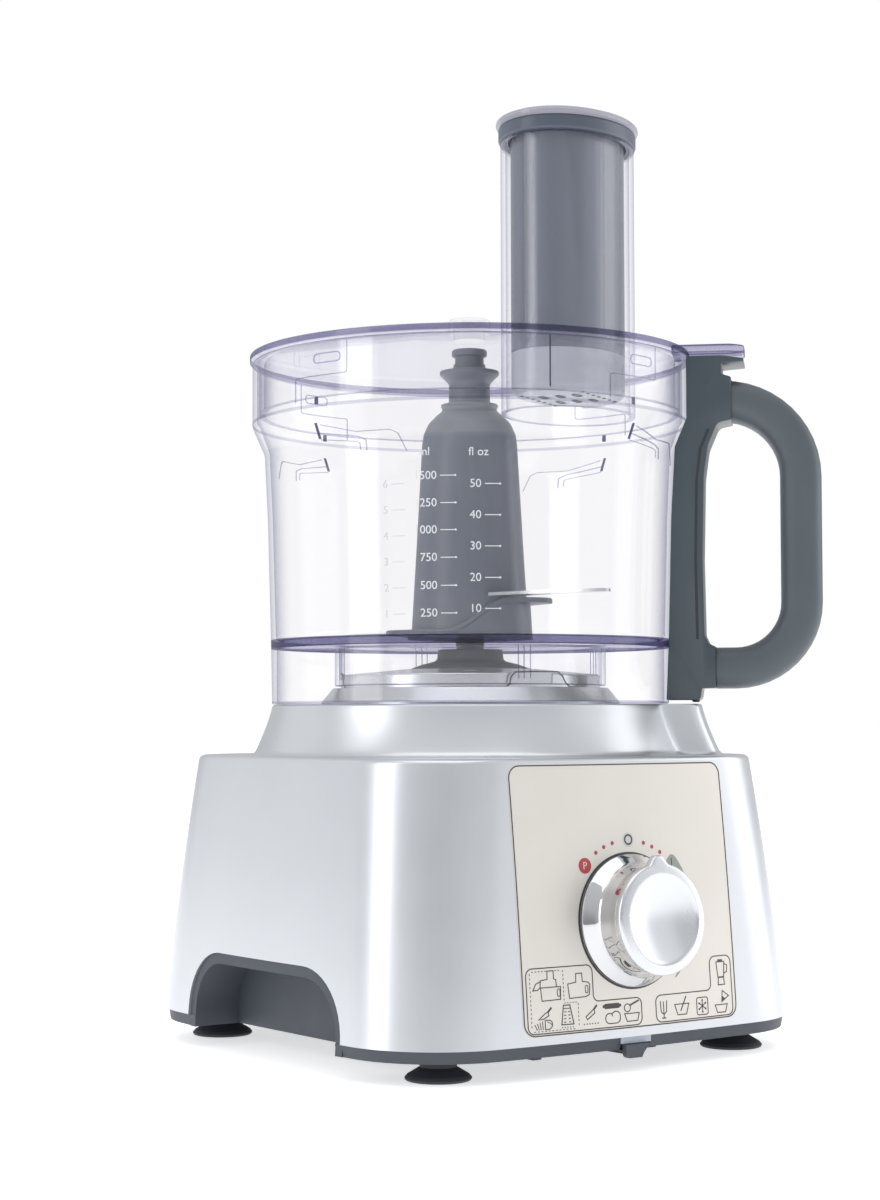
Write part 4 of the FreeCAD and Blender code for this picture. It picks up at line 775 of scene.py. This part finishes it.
def icon_machines():
    """Two processors, one with a spout."""
    shapes = [
        stroke([(-48.3, 36.6), (-47.9, 31.4), (-38.8, 31.6), (-38.5, 36.6)], 0.4, True),
        stroke([(-48.5, 36.6), (-48.3, 39.4), (-44.9, 39.8), (-44.8, 43), (-41.8, 43), (-41.7, 39.8),
                (-40.7, 39.4), (-40.5, 36.6)], 0.4),
        stroke([(-48.5, 39), (-50.6, 38.2), (-52.1, 35.7), (-49.8, 35.8), (-48.4, 36.8)], 0.4),
        stroke([(-34.9, 37.3), (-34.3, 31.6), (-26, 31.8), (-24.2, 32.6), (-23.9, 36.6), (-24.8, 37.5),
                (-27.5, 37.8), (-27.7, 41.2), (-30.7, 41.2), (-30.8, 37.8)], 0.4, True),
    ]
    for x, level in ((-40.2, 32.7), (-26.2, 33.2)):
        handle = [(x, level, 0.5), (x + 1.3, level + 0.2, 0.5), (x + 1.3, level + 3.1, 0.5),
                  (x, level + 2.9, 0.5)]
        shapes.append(stroke(rounded(handle, 3), 0.35, True))
    return shapes


def icon_slicing():
    """A knife over a food tray with its slices, and a grater."""
    shapes = [
        stroke([(-43.5, 28.7), (-45.4, 26.9)], 0.8),
        stroke([(-45.4, 27), (-44.9, 25.6), (-47.4, 24.4), (-50, 24.2), (-46.6, 26.6)], 0.4, True),
        stroke(rounded([(-46.9, 20.2), (-44.2, 20.2, 2.2), (-42.3, 23.8, 1.6), (-46.9, 23.8)], 5), 0.4,
               True),
        stroke([(-45.9, 23.2), (-44.4, 22.6), (-43.4, 21.6)], 0.3),
        stroke([(-37.6, 29.1), (-34.4, 29.1), (-32.8, 21.5), (-38.8, 21.5)], 0.45, True),
        stroke([(-37.7, 27.8), (-34.2, 27.8)], 0.35),
    ]
    for step in range(4):
        shapes.append(stroke([(-48.0 - 0.95 * step, 20.2), (-48.2 - 1.25 * step, 23.6 - 0.4 * step)], 0.35))
    for row in range(4):
        for column in (-0.9, 0.9):
            x = -35.9 + column * (1 + 0.12 * row)
            shapes.append(stroke([(x - 0.5, 26.5 - 1.35 * row), (x + 0.5, 26.5 - 1.35 * row)], 0.4))
    for step in range(5):
        shapes.append(disc(-38.6 + 1.35 * step, 20.4, 0.26, 8))
    return shapes


def icon_chopping():
    """A knife, a loaf over a mixing bowl, and a sieve with a spoon."""
    shapes = [
        stroke([(-20.8, 28.1), (-22.6, 26.3)], 0.8),
        stroke([(-22.4, 26.6), (-22, 25), (-25.9, 22.6), (-26.6, 23.8)], 0.4, True),
        area(rounded([(-17, 26.1, 0.6), (-9, 26.1, 0.6), (-9, 28.2, 0.6), (-17, 28.2, 0.6)], 3)),
        area([(-17.8, 26.6), (-8.2, 26.6), (-8.2, 27.7), (-17.8, 27.7)]),
        stroke(rounded([(-16.6, 20.2, 2), (-8.9, 20.2, 2), (-8.9, 24.9, 2), (-11.6, 24.9, 0.5),
                        (-13.4, 24, 0.5), (-16.6, 24.9, 2)], 5), 0.42, True),
        stroke([(-13.4, 24.1), (-12.9, 23)], 0.4),
        stroke(circle_points(-5, 25.8, 1.6, 20), 0.4, True),
        stroke([(-3.7, 26.7), (1.3, 28.5)], 0.7),
        stroke([(-6.6, 23.5), (1.2, 23.5), (0.2, 20.4), (-5.4, 20.4)], 0.42, True),
    ]
    for step in range(6):
        shapes.append(disc(-27.6 + 1.4 * step, 20.9, 0.3, 8))
    return shapes


def icon_mixing():
    """A whisk, a bowl with a pestle, a flake, a citrus press and a jug."""
    shapes = [
        stroke([(12.9, 27.2), (13.1, 22.8), (14.6, 21.6), (16.1, 22.8), (16.4, 27.2)], 0.4),
        stroke([(14.6, 26.9), (14.6, 21.6), (14.6, 20.2)], 0.4),
        stroke([(13.5, 20.2), (15.7, 20.2)], 0.5),
        stroke([(20.8, 25.2), (28.8, 25.2), (27.2, 20.9), (22.3, 20.9)], 0.42, True),
        stroke([(24, 22.4), (27.4, 28.2)], 0.55),
        stroke(rounded([(33.3, 19.9, 1), (39.7, 19.9, 1), (39.7, 27, 1), (33.3, 27, 1)], 4),
               0.42, True),
        stroke([(44, 23.2), (51.2, 23.2), (49.9, 20), (45.2, 20)], 0.42, True),
        stroke([(48, 24.3), (48.6, 28.9), (52.2, 26.6)], 0.42, True),
        area([(48, 24.3), (48.4, 26.8), (50.2, 25.4)]),
        stroke([(45.9, 40.9), (50.6, 40.9), (50, 34.6), (46.6, 34.6)], 0.45, True),
        stroke([(50.6, 39.9), (52.2, 39.4), (51.9, 36.6), (50.3, 36)], 0.42),
        stroke([(46.8, 34.4), (46.5, 31.4), (50.3, 31.4), (49.9, 34.4)], 0.45, True),
        stroke([(46.8, 41.5), (49.6, 41.5)], 0.8),
    ]
    for turn in (0, 60, 120):
        x, level = 2.2 * sin(radians(turn)), 2.5 * cos(radians(turn))
        shapes.append(stroke([(36.5 - x, 23.45 - level), (36.5 + x, 23.45 + level)], 0.42))
        for end in (-0.95, 0.95):
            shapes.append(disc(36.5 + end * x, 23.45 + end * level, 0.45, 8))
    return shapes


def dashes(start, end, count):
    """Short strokes that make a dashed line."""
    start, end = Vector(start), Vector(end)
    step = (end - start) / count
    return [stroke([start + step * place, start + step * (place + 0.5)], 0.3) for place in range(count)]


def panel_pictograms(surface):
    """Plain line drawings of the tools' uses, in two outlined groups."""
    left = rounded([(-55.2, 18.7, 2.8), (2.6, 18.7, 2.8), (2.6, 29.6, 2.6), (-22.3, 29.6, 2.6),
                    (-22.3, 44.3, 3), (-55.2, 44.3, 3)], 6)
    right = rounded([(10.4, 18.7, 2.8), (54.4, 18.7, 2.8), (54.4, 43.4, 3), (42, 43.4, 3),
                     (42, 29.6, 2.6), (10.4, 29.6, 2.8)], 6)
    dark = [stroke(left, 0.45, True), stroke(right, 0.45, True)]
    dark += icon_machines() + icon_slicing() + icon_chopping() + icon_mixing()
    dark += dashes((-37.1, 43), (-37.1, 30.2), 8) + dashes((-37.1, 30), (-30.2, 30), 5)
    dark += dashes((-30.2, 29.6), (-30.2, 20), 6) + dashes((-53.4, 42.4), (-53.4, 20.4), 13)
    dark += dashes((-52.4, 43), (-38, 43), 9) + dashes((-52.4, 19.6), (-31.4, 19.6), 12)
    printed("panel_pictograms", dark, surface, "ink_dark", 0.08)


# ---- speed control

FACE_TILT = radians(5.05)
DIAL_FACE = 109.95
DISH_RADIUS, DISH_DEPTH = 18.1, 3


def dial_point(side, up, out):
    """A point beside, above and in front of the dial's middle, square to the sloping front."""
    return placed(
        side,
        -DIAL_FACE + up * sin(FACE_TILT) - out * cos(FACE_TILT),
        DIAL_LEVEL + up * cos(FACE_TILT) + out * sin(FACE_TILT),
    )


def dial_turned(name, outline, slot, material, bulge):
    """A closed outline of (radius, out) turned about the dial's middle, and grown by bulge."""
    rings = []
    for angle in angles(TURN):
        ring = []
        for radius, out in outline:
            grown = radius + bulge(angle, radius)
            ring.append(dial_point(grown * sin(angle), grown * cos(angle), out))
        rings.append(ring)
    return make_piece(name, *loft(rings, True), "knob", slot, material, 30)


def nub(angle, radius):
    """The small pointer on the cap's edge."""
    off = min(angle, FULL - angle)
    return 3.2 * (1 - smooth((off - 0.04) / 0.2)) * smooth((radius - 20.8) / 1.6)


def speed_knob():
    """The chrome collar with its flared foot, and the satin cap with a dished face."""
    collar = rounded([
        (24.6, 0.45), (27, 0.45, 0.3), (27, 1.7, 0.6), (25.4, 3.4, 2), (22.6, 6.5, 6),
        (21.4, 12.5, 3), (21.6, 15.8, 0.3), (19.4, 15.8), (19.4, 12), (20.6, 6),
    ], 6)
    piece = dial_turned("knob_collar_shell", collar, "chrome_trim", "chrome", lambda angle, radius: 0)
    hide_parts("knob_collar")
    cap = rounded([
        (0, 16.2), (20.6, 16.2), (22, 16.2, 0.5), (22.6, 17.2, 0.5), (22.6, 20.2, 1.6), (18.6, 20.75, 0.5),
    ], 6)
    for step in range(13):
        radius = DISH_RADIUS * (1 - step / 12)
        cap.append(Vector((radius, 20.3 - DISH_DEPTH * (1 - (radius / DISH_RADIUS) ** 2))))
    piece = dial_turned("knob_cap_shell", cap, "cap_silver", "cap_silver", nub)
    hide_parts("knob_cap")


# ---- bowl

CLEAR_SET = "clear_plastic clear_edge clear_line"
PLAIN, EDGE, LINE = range(3)


def level_curve(points):
    """A function that runs in straight lines through (level, value) points."""

    def at(level):
        for (low, first), (high, last) in zip(points, points[1:]):
            if level <= high:
                return first + (last - first) * max(0, level - low) / (high - low)
        return points[-1][1]

    return at


bowl_wall = level_curve(((150, 89), (178, 89.6), (232, 91), (262, 92.5), (275, 98), (303, 98)))


def clear_bowl():
    outline = rounded([
        (87, 150), (89, 150, 0.5), (89.05, 151.2), (89.5, 174.8), (89.6, 178.6), (91, 232, 60),
        (92.5, 262, 8), (97.2, 272.6, 3), (98, 275, 1.5), (98, 276.2), (98, 303, 0.7),
        (95.9, 303, 0.7), (95.9, 276.6, 1), (94.6, 274.6), (90.3, 263, 6), (88.8, 232, 60), (87.4, 180.5),
        (87.3, 178, 2.4), (84, 178), (17, 178, 1.5), (15.2, 181), (15.2, 236, 0.7), (13.4, 236, 0.7),
        (13.4, 175.3, 0.5), (59.1, 175.3, 0.8), (59.1, 158, 0.5), (61, 158, 0.5), (61, 175.3, 0.8),
        (85.4, 175.3), (87, 175.3, 0.6),
    ], 5)

    def mark(radius, level):
        if radius > 84.3 and 174.7 < level < 178.5:
            return EDGE
        if level > 302.3 or level < 151.0 or (radius > 97.4 and 274.4 < level < 276):
            return LINE
        if level < 158.6 and radius < 62:
            return LINE
        if 174.0 < level < 178.5 and (radius < 18 or 58.8 < radius < 62):
            return LINE
        return PLAIN

    piece = turned_piece("bowl_shell", outline, "bowl", "clear_plastic", CLEAR_SET)
    mark_faces(piece, mark)
    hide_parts("bowl")


def bowl_marks():
    """Raised volume marks on the wall: numbers with a short line and a dot beside each."""
    litres = [(250, 187.1), (500, 198.5), (750, 210.1), (1000, 221.5), (1250, 232.7), (1500, 244)]
    ounces = [(10, 188.9), (20, 201.7), (30, 214.7), (40, 227.6), (50, 240.5)]
    groups = (("millilitre_marks", litres, -134.7, "ml", 253.9, 6.4, -6),
              ("ounce_marks", ounces, -123.1, "fl oz", 253.6, 6.4, -2))
    for name, rows, angle, unit, unit_level, reach, unit_x in groups:
        shapes = [lettering(unit, 4.9, unit_x, unit_level)]
        for number, level in rows:
            shapes.append(lettering(str(number), 4.9, -0.8, level, "RIGHT"))
            shapes.append(stroke([(0.6, level), (reach * 0.5, level), (reach, level)], 0.35))
            shapes.append(disc(reach + 0.5, level, 0.45, 10))
        moulded(name, shapes, turned_surface(bowl_wall, angle), "bowl", "mark_white", 0.22)
    shapes = []
    for number in range(1, 7):
        level = 186.9 + (number - 1) * 10.8
        shapes.append(lettering(str(number), 4.6, -0.8, level, "RIGHT"))
        shapes.append(stroke([(0.8, level), (6.5, level)], 0.35))
    moulded("cup_marks", shapes, turned_surface(bowl_wall, -148), "bowl", "clear_mark", 0.22)


def bayonet_lines():
    """The stepped groove that one of the lid's lugs runs in, as raised lines on the flare."""
    lower = rounded([(0, 264.4), (20, 261.6, 2), (24.2, 260, 1), (24.4, 255.5)], 4)
    bottom = rounded([(0, 261.6), (19, 259.6, 1), (21.2, 259, 1), (21.4, 256)], 4)
    upper = rounded([(2, 267.6), (20, 263.6, 4), (36, 263.6, 2), (39, 262, 2), (42.5, 254.6)], 4)
    return [stroke(lower, 0.5), stroke(bottom, 0.35), stroke(upper, 0.4)]


def bowl_details():
    for number, angle in enumerate((-169.5, 100.5, 10.5, -79.5)):
        around = turned_surface(bowl_wall, angle)
        moulded("bayonet_track_%d" % number, bayonet_lines(), around, "bowl", "clear_line")
        stop = [stroke([(-0.4, 268.6), (-0.4, 262)], 1.3)]
        moulded("bayonet_stop_%d" % number, stop, around, "bowl", "clear_edge")


# ---- lid and feed tube

TUBE_X, TUBE_Y, TUBE_TURN = 22.5, -43.5, radians(27)
TUBE_MAJOR, TUBE_MINOR = 37.7, 27.8
LID_SKIRT = 95
PUSHER_FOOT = 285
FOOT_ROUND = 4
# Below this level, at the lid's edge, the pusher is painted pale as the lid wall's reflection.
LID_REFLECTION_BELOW = 303.5


def on_oval(along, across, level):
    """A point by its place along and across the feed tube's oval."""
    x = TUBE_X + along * cos(TUBE_TURN) - across * sin(TUBE_TURN)
    y = TUBE_Y + along * sin(TUBE_TURN) + across * cos(TUBE_TURN)
    return placed(x, y, level)


def oval_ring(inset, level, steps=TURN):
    major, minor = TUBE_MAJOR - inset, TUBE_MINOR - inset
    return [on_oval(major * cos(angle), minor * sin(angle), level) for angle in angles(steps)]


def oval_piece(name, outline, body, slot, materials, closed_path=False):
    """Oval rings of (inset from the tube's outside, level), with flat ends or closed on themselves."""
    rings = [oval_ring(inset, level) for inset, level in outline]
    return make_piece(name, *loft(rings, closed_path), body, slot, materials)


def clear_lid():
    outline = rounded([
        (0, 324), (9.5, 324, 1.2), (9.5, 317.2, 0.8), (24, 316.4, 4), (96.8, 306.4), (99.2, 306.4, 0.6),
        (99.2, 303.35, 0.3), (95, 303.35, 0.2), (95, 279.5, 0.6), (92.8, 279.5, 0.6), (92.8, 303.6, 1.5),
        (24, 314), (7, 314.4, 0.5), (7, 321.4, 0.5), (0, 321.4),
    ], 5)

    def mark(radius, level):
        if radius > 98.9 and level > 303.9:
            return EDGE
        return LINE if radius > 98.9 or level < 280.2 else PLAIN

    piece = turned_piece("lid_shell", outline, "lid", "clear_plastic", CLEAR_SET)
    opening = [oval_ring(0.2, level, 96) for level in (296, 330)]
    cut_away(piece, add_mesh("cutter", *loft(opening)))
    mark_faces(piece, mark)
    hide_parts("lid")


def feed_tube():
    outline = rounded([
        (0, 277, 0.6), (0, 396), (-0.3, 397, 0.5), (2.2, 397, 0.8), (2.2, 277, 0.6),
    ], 4)
    piece = oval_piece("feed_tube", outline, "lid", "clear_plastic", CLEAR_SET, True)
    mark_faces(piece, lambda radius, level: LINE if level > 396.2 or level < 277.8 else PLAIN)


def lid_tab():
    """The tab over the handle that presses the safety rod down."""
    corners = rounded([(92, -13), (92, 13), (118, 13, 5), (123.8, 8, 4), (123.8, -8, 4),
                       (118, -13, 5)], 5)
    rings = [[on_handle(out, side, level) for out, side in corners] for level in (304.3, 308.2)]
    piece = make_piece("lid_tab", *loft(rings), "lid", "clear_plastic", "clear_line clear_edge")
    bevel(piece, 0.8)
    for face in piece.data.polygons:
        face.material_index = 1 if 0.15 < abs(face.normal.z) < 0.85 else 0


def lid_details():
    """Outlined lugs, the edges of the collar's thicker panels, and a seam."""
    for number, angle in enumerate((-166, -76, 14, 104)):
        around = turned_surface(lambda level: LID_SKIRT, angle)
        pill = rounded([(-7.5, 294, 1.8), (7.5, 294, 1.8), (7.5, 297.9, 1.8), (-7.5, 297.9, 1.8)], 5)
        panel = rounded([(-20, 278.5), (-20, 288.7, 1.2), (11, 288.7, 1.2), (11, 303)], 4)
        shapes = [stroke(pill, 0.5, True), stroke(panel, 0.45)]
        moulded("lid_lug_%d" % number, shapes, around, "lid", "clear_line", 0.35)
        notch = [(-7, 276.6), (-5, 276.6), (-5, 279.6), (-7, 279.6)]
        moulded("lid_notch_%d" % number, [area(notch)], around, "lid", "clear_edge")
    edge = [stroke([(0, 281), (0, 292), (0, 303)], 0.55)]
    moulded("lid_seam", edge, turned_surface(lambda level: LID_SKIRT, -106), "lid", "clear_edge")


def pusher():
    """The body with its rounded foot, painted pale below the lid's edge as the lid wall's reflection, the
    dark collar that stops it, and the clear cap.
    """
    outline = []
    for turn in (0, 18, 36, 54, 72, 90):
        round_off = FOOT_ROUND - FOOT_ROUND * sin(radians(turn))
        outline.append((4.5 + round_off, PUSHER_FOOT + FOOT_ROUND - FOOT_ROUND * cos(radians(turn))))
    outline += [(4.5, LID_REFLECTION_BELOW), (4.5, 330), (4.5, 370), (4.5, 403.6)]
    piece = oval_piece("pusher_shell", outline, "pusher", "pusher_plastic", "pusher_plastic pusher_foot")
    # Painted reflection: faces below the lid's edge take the pale material.
    mark_faces(piece, lambda radius, level: 1 if level < LID_REFLECTION_BELOW else 0)
    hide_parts("pusher_body")
    collar = rounded([
        (3.4, 397.5), (-0.5, 397.5, 0.5), (-0.9, 398.6, 0.5), (-0.9, 403, 0.6), (-0.4, 403.9, 0.3),
        (3.4, 403.9),
    ], 4)
    piece = oval_piece("pusher_collar_ring", collar, "pusher", "pusher_plastic", "collar_plastic", True)
    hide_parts("pusher_collar")
    dome = [(-0.8, 404.05), (-1.7, 404.4), (-2, 405.2), (-1.8, 406.2), (-1, 406.9), (1, 407.6),
            (6, 408.8), (14, 409.7), (22, 410)]
    piece = oval_piece("pusher_cap_dome", dome, "pusher", "clear_plastic", "clear_cap")
    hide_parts("pusher_cap")


def pusher_underside():
    """Slots and dots moulded in the pusher's lower face."""
    shapes = []
    for level in (-8, 0, 8):
        for x in (-9, 9):
            slot = rounded([(x + side * 3.5, level + up * 1.1, 1) for side, up in (
                (-1, -1), (1, -1), (1, 1), (-1, 1))], 4)
            shapes.append(stroke(slot, 0.6, True))
    for step in range(7):
        shapes += [disc(-18 + 6 * step, level, 0.8, 12) for level in (-14.5, 14.5)]

    def under(x, y):
        return on_oval(x, y, PUSHER_FOOT), Vector((0, 0, -1))

    laid_on("pusher_embossing", shapes, under, "pusher", "pusher_plastic", "slate_plastic", 0.3)


# ---- handle

BRACKET_HALF = 12
GRIP_SIDE, GRIP_THICK, GRIP_POWER = 11, 9.1, 0.72
GRIP_FOOT, GRIP_LOW, GRIP_OUT, GRIP_HEAD, GRIP_HIGH = 110.6, 165.5, 148, 118.3, 284
LOW_ROUND, HIGH_ROUND = 29, 34


def handle_bracket():
    """The bar beside the bowl: follows the wall, with feet for the grip and a shelf at the head."""
    outline = rounded([
        (88.8, 151.4), (103.7, 151.4, 1.5), (104.4, 156.5, 1), (110.4, 156.6), (110.4, 174.8),
        (107.5, 176, 1.5), (105.6, 180, 3), (105, 213.6, 60), (105.8, 250, 30), (107.6, 263, 12),
        (112, 273.4, 4), (118, 274.6), (118, 293.6), (113.8, 295, 1), (113.8, 299.6, 0.5),
        (123.6, 300.4, 0.4), (123.6, 301.7, 0.4), (113.8, 303.2), (98.4, 303.2), (98.4, 275.6, 1.5),
        (93.2, 263.2, 4), (91.4, 232), (90, 178),
    ], 5)
    sides = (-BRACKET_HALF, BRACKET_HALF)
    rings = [[on_handle(out, side, level) for out, level in outline] for side in sides]
    piece = make_piece("handle_bracket_shell", *loft(rings), "bowl", "slate_plastic", "bracket_plastic")
    bevel(piece, 0.7, 50)
    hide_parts("handle_bracket")
    # Painted shade: a dark strip on each flat side of the bracket stands in for the shade inside its
    # groove.
    groove = [(102.6, 178), (102, 213.6), (102.7, 248), (104.4, 262), (108, 270.6)]
    for name, side in (("bracket_groove_shade_left", -1), ("bracket_groove_shade_right", 1)):
        facing = (on_handle(0, side, 0) - on_handle(0, 0, 0)).normalized()

        def flat_side(out, level):
            return on_handle(out, side * BRACKET_HALF, level), facing

        laid_on(name, [stroke(groove, 1.3)], flat_side, "bowl", "slate_plastic", "groove_shade_dark", 0.05)


def grip_path():
    """Centre line of the grip as (out, level, slope) steps."""
    steps = [(GRIP_FOOT, GRIP_LOW, 0), ((GRIP_FOOT + GRIP_OUT - LOW_ROUND) / 2, GRIP_LOW, 0)]
    turns = [radians(90 * step / 12) for step in range(13)]
    low_centre, high_centre = GRIP_LOW + LOW_ROUND, GRIP_HIGH - HIGH_ROUND
    for turn in turns:
        out = GRIP_OUT - LOW_ROUND + LOW_ROUND * sin(turn)
        steps.append((out, low_centre - LOW_ROUND * cos(turn), turn))
    for share in (0.33, 0.67):
        steps.append((GRIP_OUT, low_centre + share * (high_centre - low_centre), pi / 2))
    for turn in turns:
        out = GRIP_OUT - HIGH_ROUND + HIGH_ROUND * cos(turn)
        steps.append((out, high_centre + HIGH_ROUND * sin(turn), pi / 2 + turn))
    return steps + [(GRIP_HEAD, GRIP_HIGH, pi)]


def handle_grip():
    """The bent grip, with a section between an oval and a square."""
    rings = []
    for out, level, slope in grip_path():
        ring = []
        for angle in angles(48):
            side = GRIP_SIDE * copysign(abs(cos(angle)) ** GRIP_POWER, cos(angle))
            thick = GRIP_THICK * copysign(abs(sin(angle)) ** GRIP_POWER, sin(angle))
            ring.append(on_handle(out + thick * sin(slope), side, level - thick * cos(slope)))
        rings.append(ring)
    piece = make_piece("handle_grip_shell", *loft(rings), "bowl", "slate_plastic", "grip_plastic", 45)
    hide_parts("handle_grip")


# ---- knife, outlet and seat

WING_TURN = radians(-36.6)
CARRIER_LOW = 178.9
OUTLET_TURNS = 96
KEY_TURN = -126.6
KEY_RADIUS = 58.2
SKIRT_RADIUS = 61


def knife_hub():
    """The tapered hub with its grooved neck."""
    outline = rounded([
        (17.8, 178.8), (26.6, 178.8, 0.8), (24, 222, 80), (21.5, 267, 30), (20.9, 271.4, 5),
        (18.6, 276.6, 9),
        (14.6, 280.6, 6), (11.4, 283, 1.5), (12.9, 284.1, 0.4), (12.9, 285.2, 0.4), (9.4, 286, 1),
        (9.2, 294.6, 3), (13.4, 298.8, 0.6), (13.4, 300.4, 0.5), (7.4, 301.6, 0.5),
        (7.2, 303.5), (6.7, 303.5), (6.7, 240), (17.8, 240),
    ], 6)
    piece = turned_piece("knife_hub_shell", outline, "knife", "hub_plastic", "hub_plastic", crease=35)
    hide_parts("knife_hub")


def drive_post():
    """The post that carries the knife, with a rounded head above the hub."""
    outline = [
        (0, 172.8), (5.2, 172.8), (6.4, 176), (6.5, 240), (6.5, 306.6), (7.9, 307.4), (8, 309.4),
        (7.4, 310.2), (0, 310.6),
    ]
    piece = turned_piece("drive_post_shell", outline, "knife", "hub_plastic", "hub_plastic", OUTLET_TURNS)
    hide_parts("drive_post")


def wing_height(angle):
    """The carrier's top edge climbs from the low blade to the high one on each side."""
    share = (cos(angle - WING_TURN) + 1) / 2
    return 183.0 + 14.4 * smooth((share - 0.30) / 0.52)


def blade_carrier():
    """The skirt round the hub's foot whose top edge winds up from one blade to the other."""
    hub_wall = level_curve(((178.8, 26.6), (222, 24)))
    rings = []
    for angle in angles(TURN):
        top = wing_height(angle)
        share = smooth(abs(cos(angle - WING_TURN)) ** 8)
        reach = 2.4 + 9.2 * share
        foot, wall = hub_wall(CARRIER_LOW), hub_wall(top)
        section = (
            (foot - 0.4, CARRIER_LOW), (foot + 1.6, CARRIER_LOW), (wall + 1.8, top - 3),
            (wall + reach, top - 2.2), (wall + reach, top - 0.4), (wall + reach - 0.5, top),
            (wall - 0.4, top + 0.3),
        )
        rings.append([polar(radius, angle, level) for radius, level in section])
    make_piece("blade_carrier", *loft(rings, True), "knife", "hub_plastic", "hub_plastic", 40)


def drive_outlet():
    """The dark socket under the bowl's floor that the drive coupling turns in; its dark disc is also
    painted shade of the knife hub seen through the floor.
    """
    outline = rounded([
        (8, 174.4), (14.6, 174.4, 0.8), (15, 169.4, 2), (22, 167.6, 2), (27, 165.8, 0.8),
        (27, 164.6, 0.5), (12, 164.6), (8, 168),
    ], 4)
    turned_piece("drive_outlet", outline, "base", "slate_plastic", "slate_plastic", OUTLET_TURNS)


def seat_details():
    """Dark lines of painted shade along the edge of the seat's raised keys, and the ribs inside the bowl's
    skirt.
    """
    profile = [
        (-14, 156.9), (0, 157), (15.4, 157), (17, 158.2), (17.6, 161.4), (19.6, 163.3), (30, 163.6),
        (41, 163.5), (43.6, 162), (45.6, 159), (48.6, 157), (54, 156.8), (62, 156.8),
    ]
    for number in range(3):
        around = turned_surface(lambda level: KEY_RADIUS, KEY_TURN + 120 * number)
        # Painted shade: a dark line along each key's raised edge.
        printed("seat_key_shade_%d" % number, [stroke(profile, 0.7)], around, "edge_shade_dark", 0.12)
    ribs = [stroke([(x, 160.5), (x, 167), (x, 174.6)], 0.5) for x in (20.8, 23.4, 26.4)]
    for number in range(4):
        around = turned_surface(lambda level: SKIRT_RADIUS, KEY_TURN + 90 * number)
        moulded("skirt_rib_%d" % number, ribs, around, "bowl", "clear_line")


make_materials()
make_camera()
make_light()
make_floor()
dress_nodes()
base_housing()
front = front_surface()
panel_border(front)
dial_marks(front)
panel_pictograms(front)
speed_knob()
clear_bowl()
bowl_marks()
bowl_details()
clear_lid()
feed_tube()
lid_tab()
lid_details()
pusher()
handle_bracket()
handle_grip()
pusher_underside()
knife_hub()
drive_post()
blade_carrier()
drive_outlet()
seat_details()
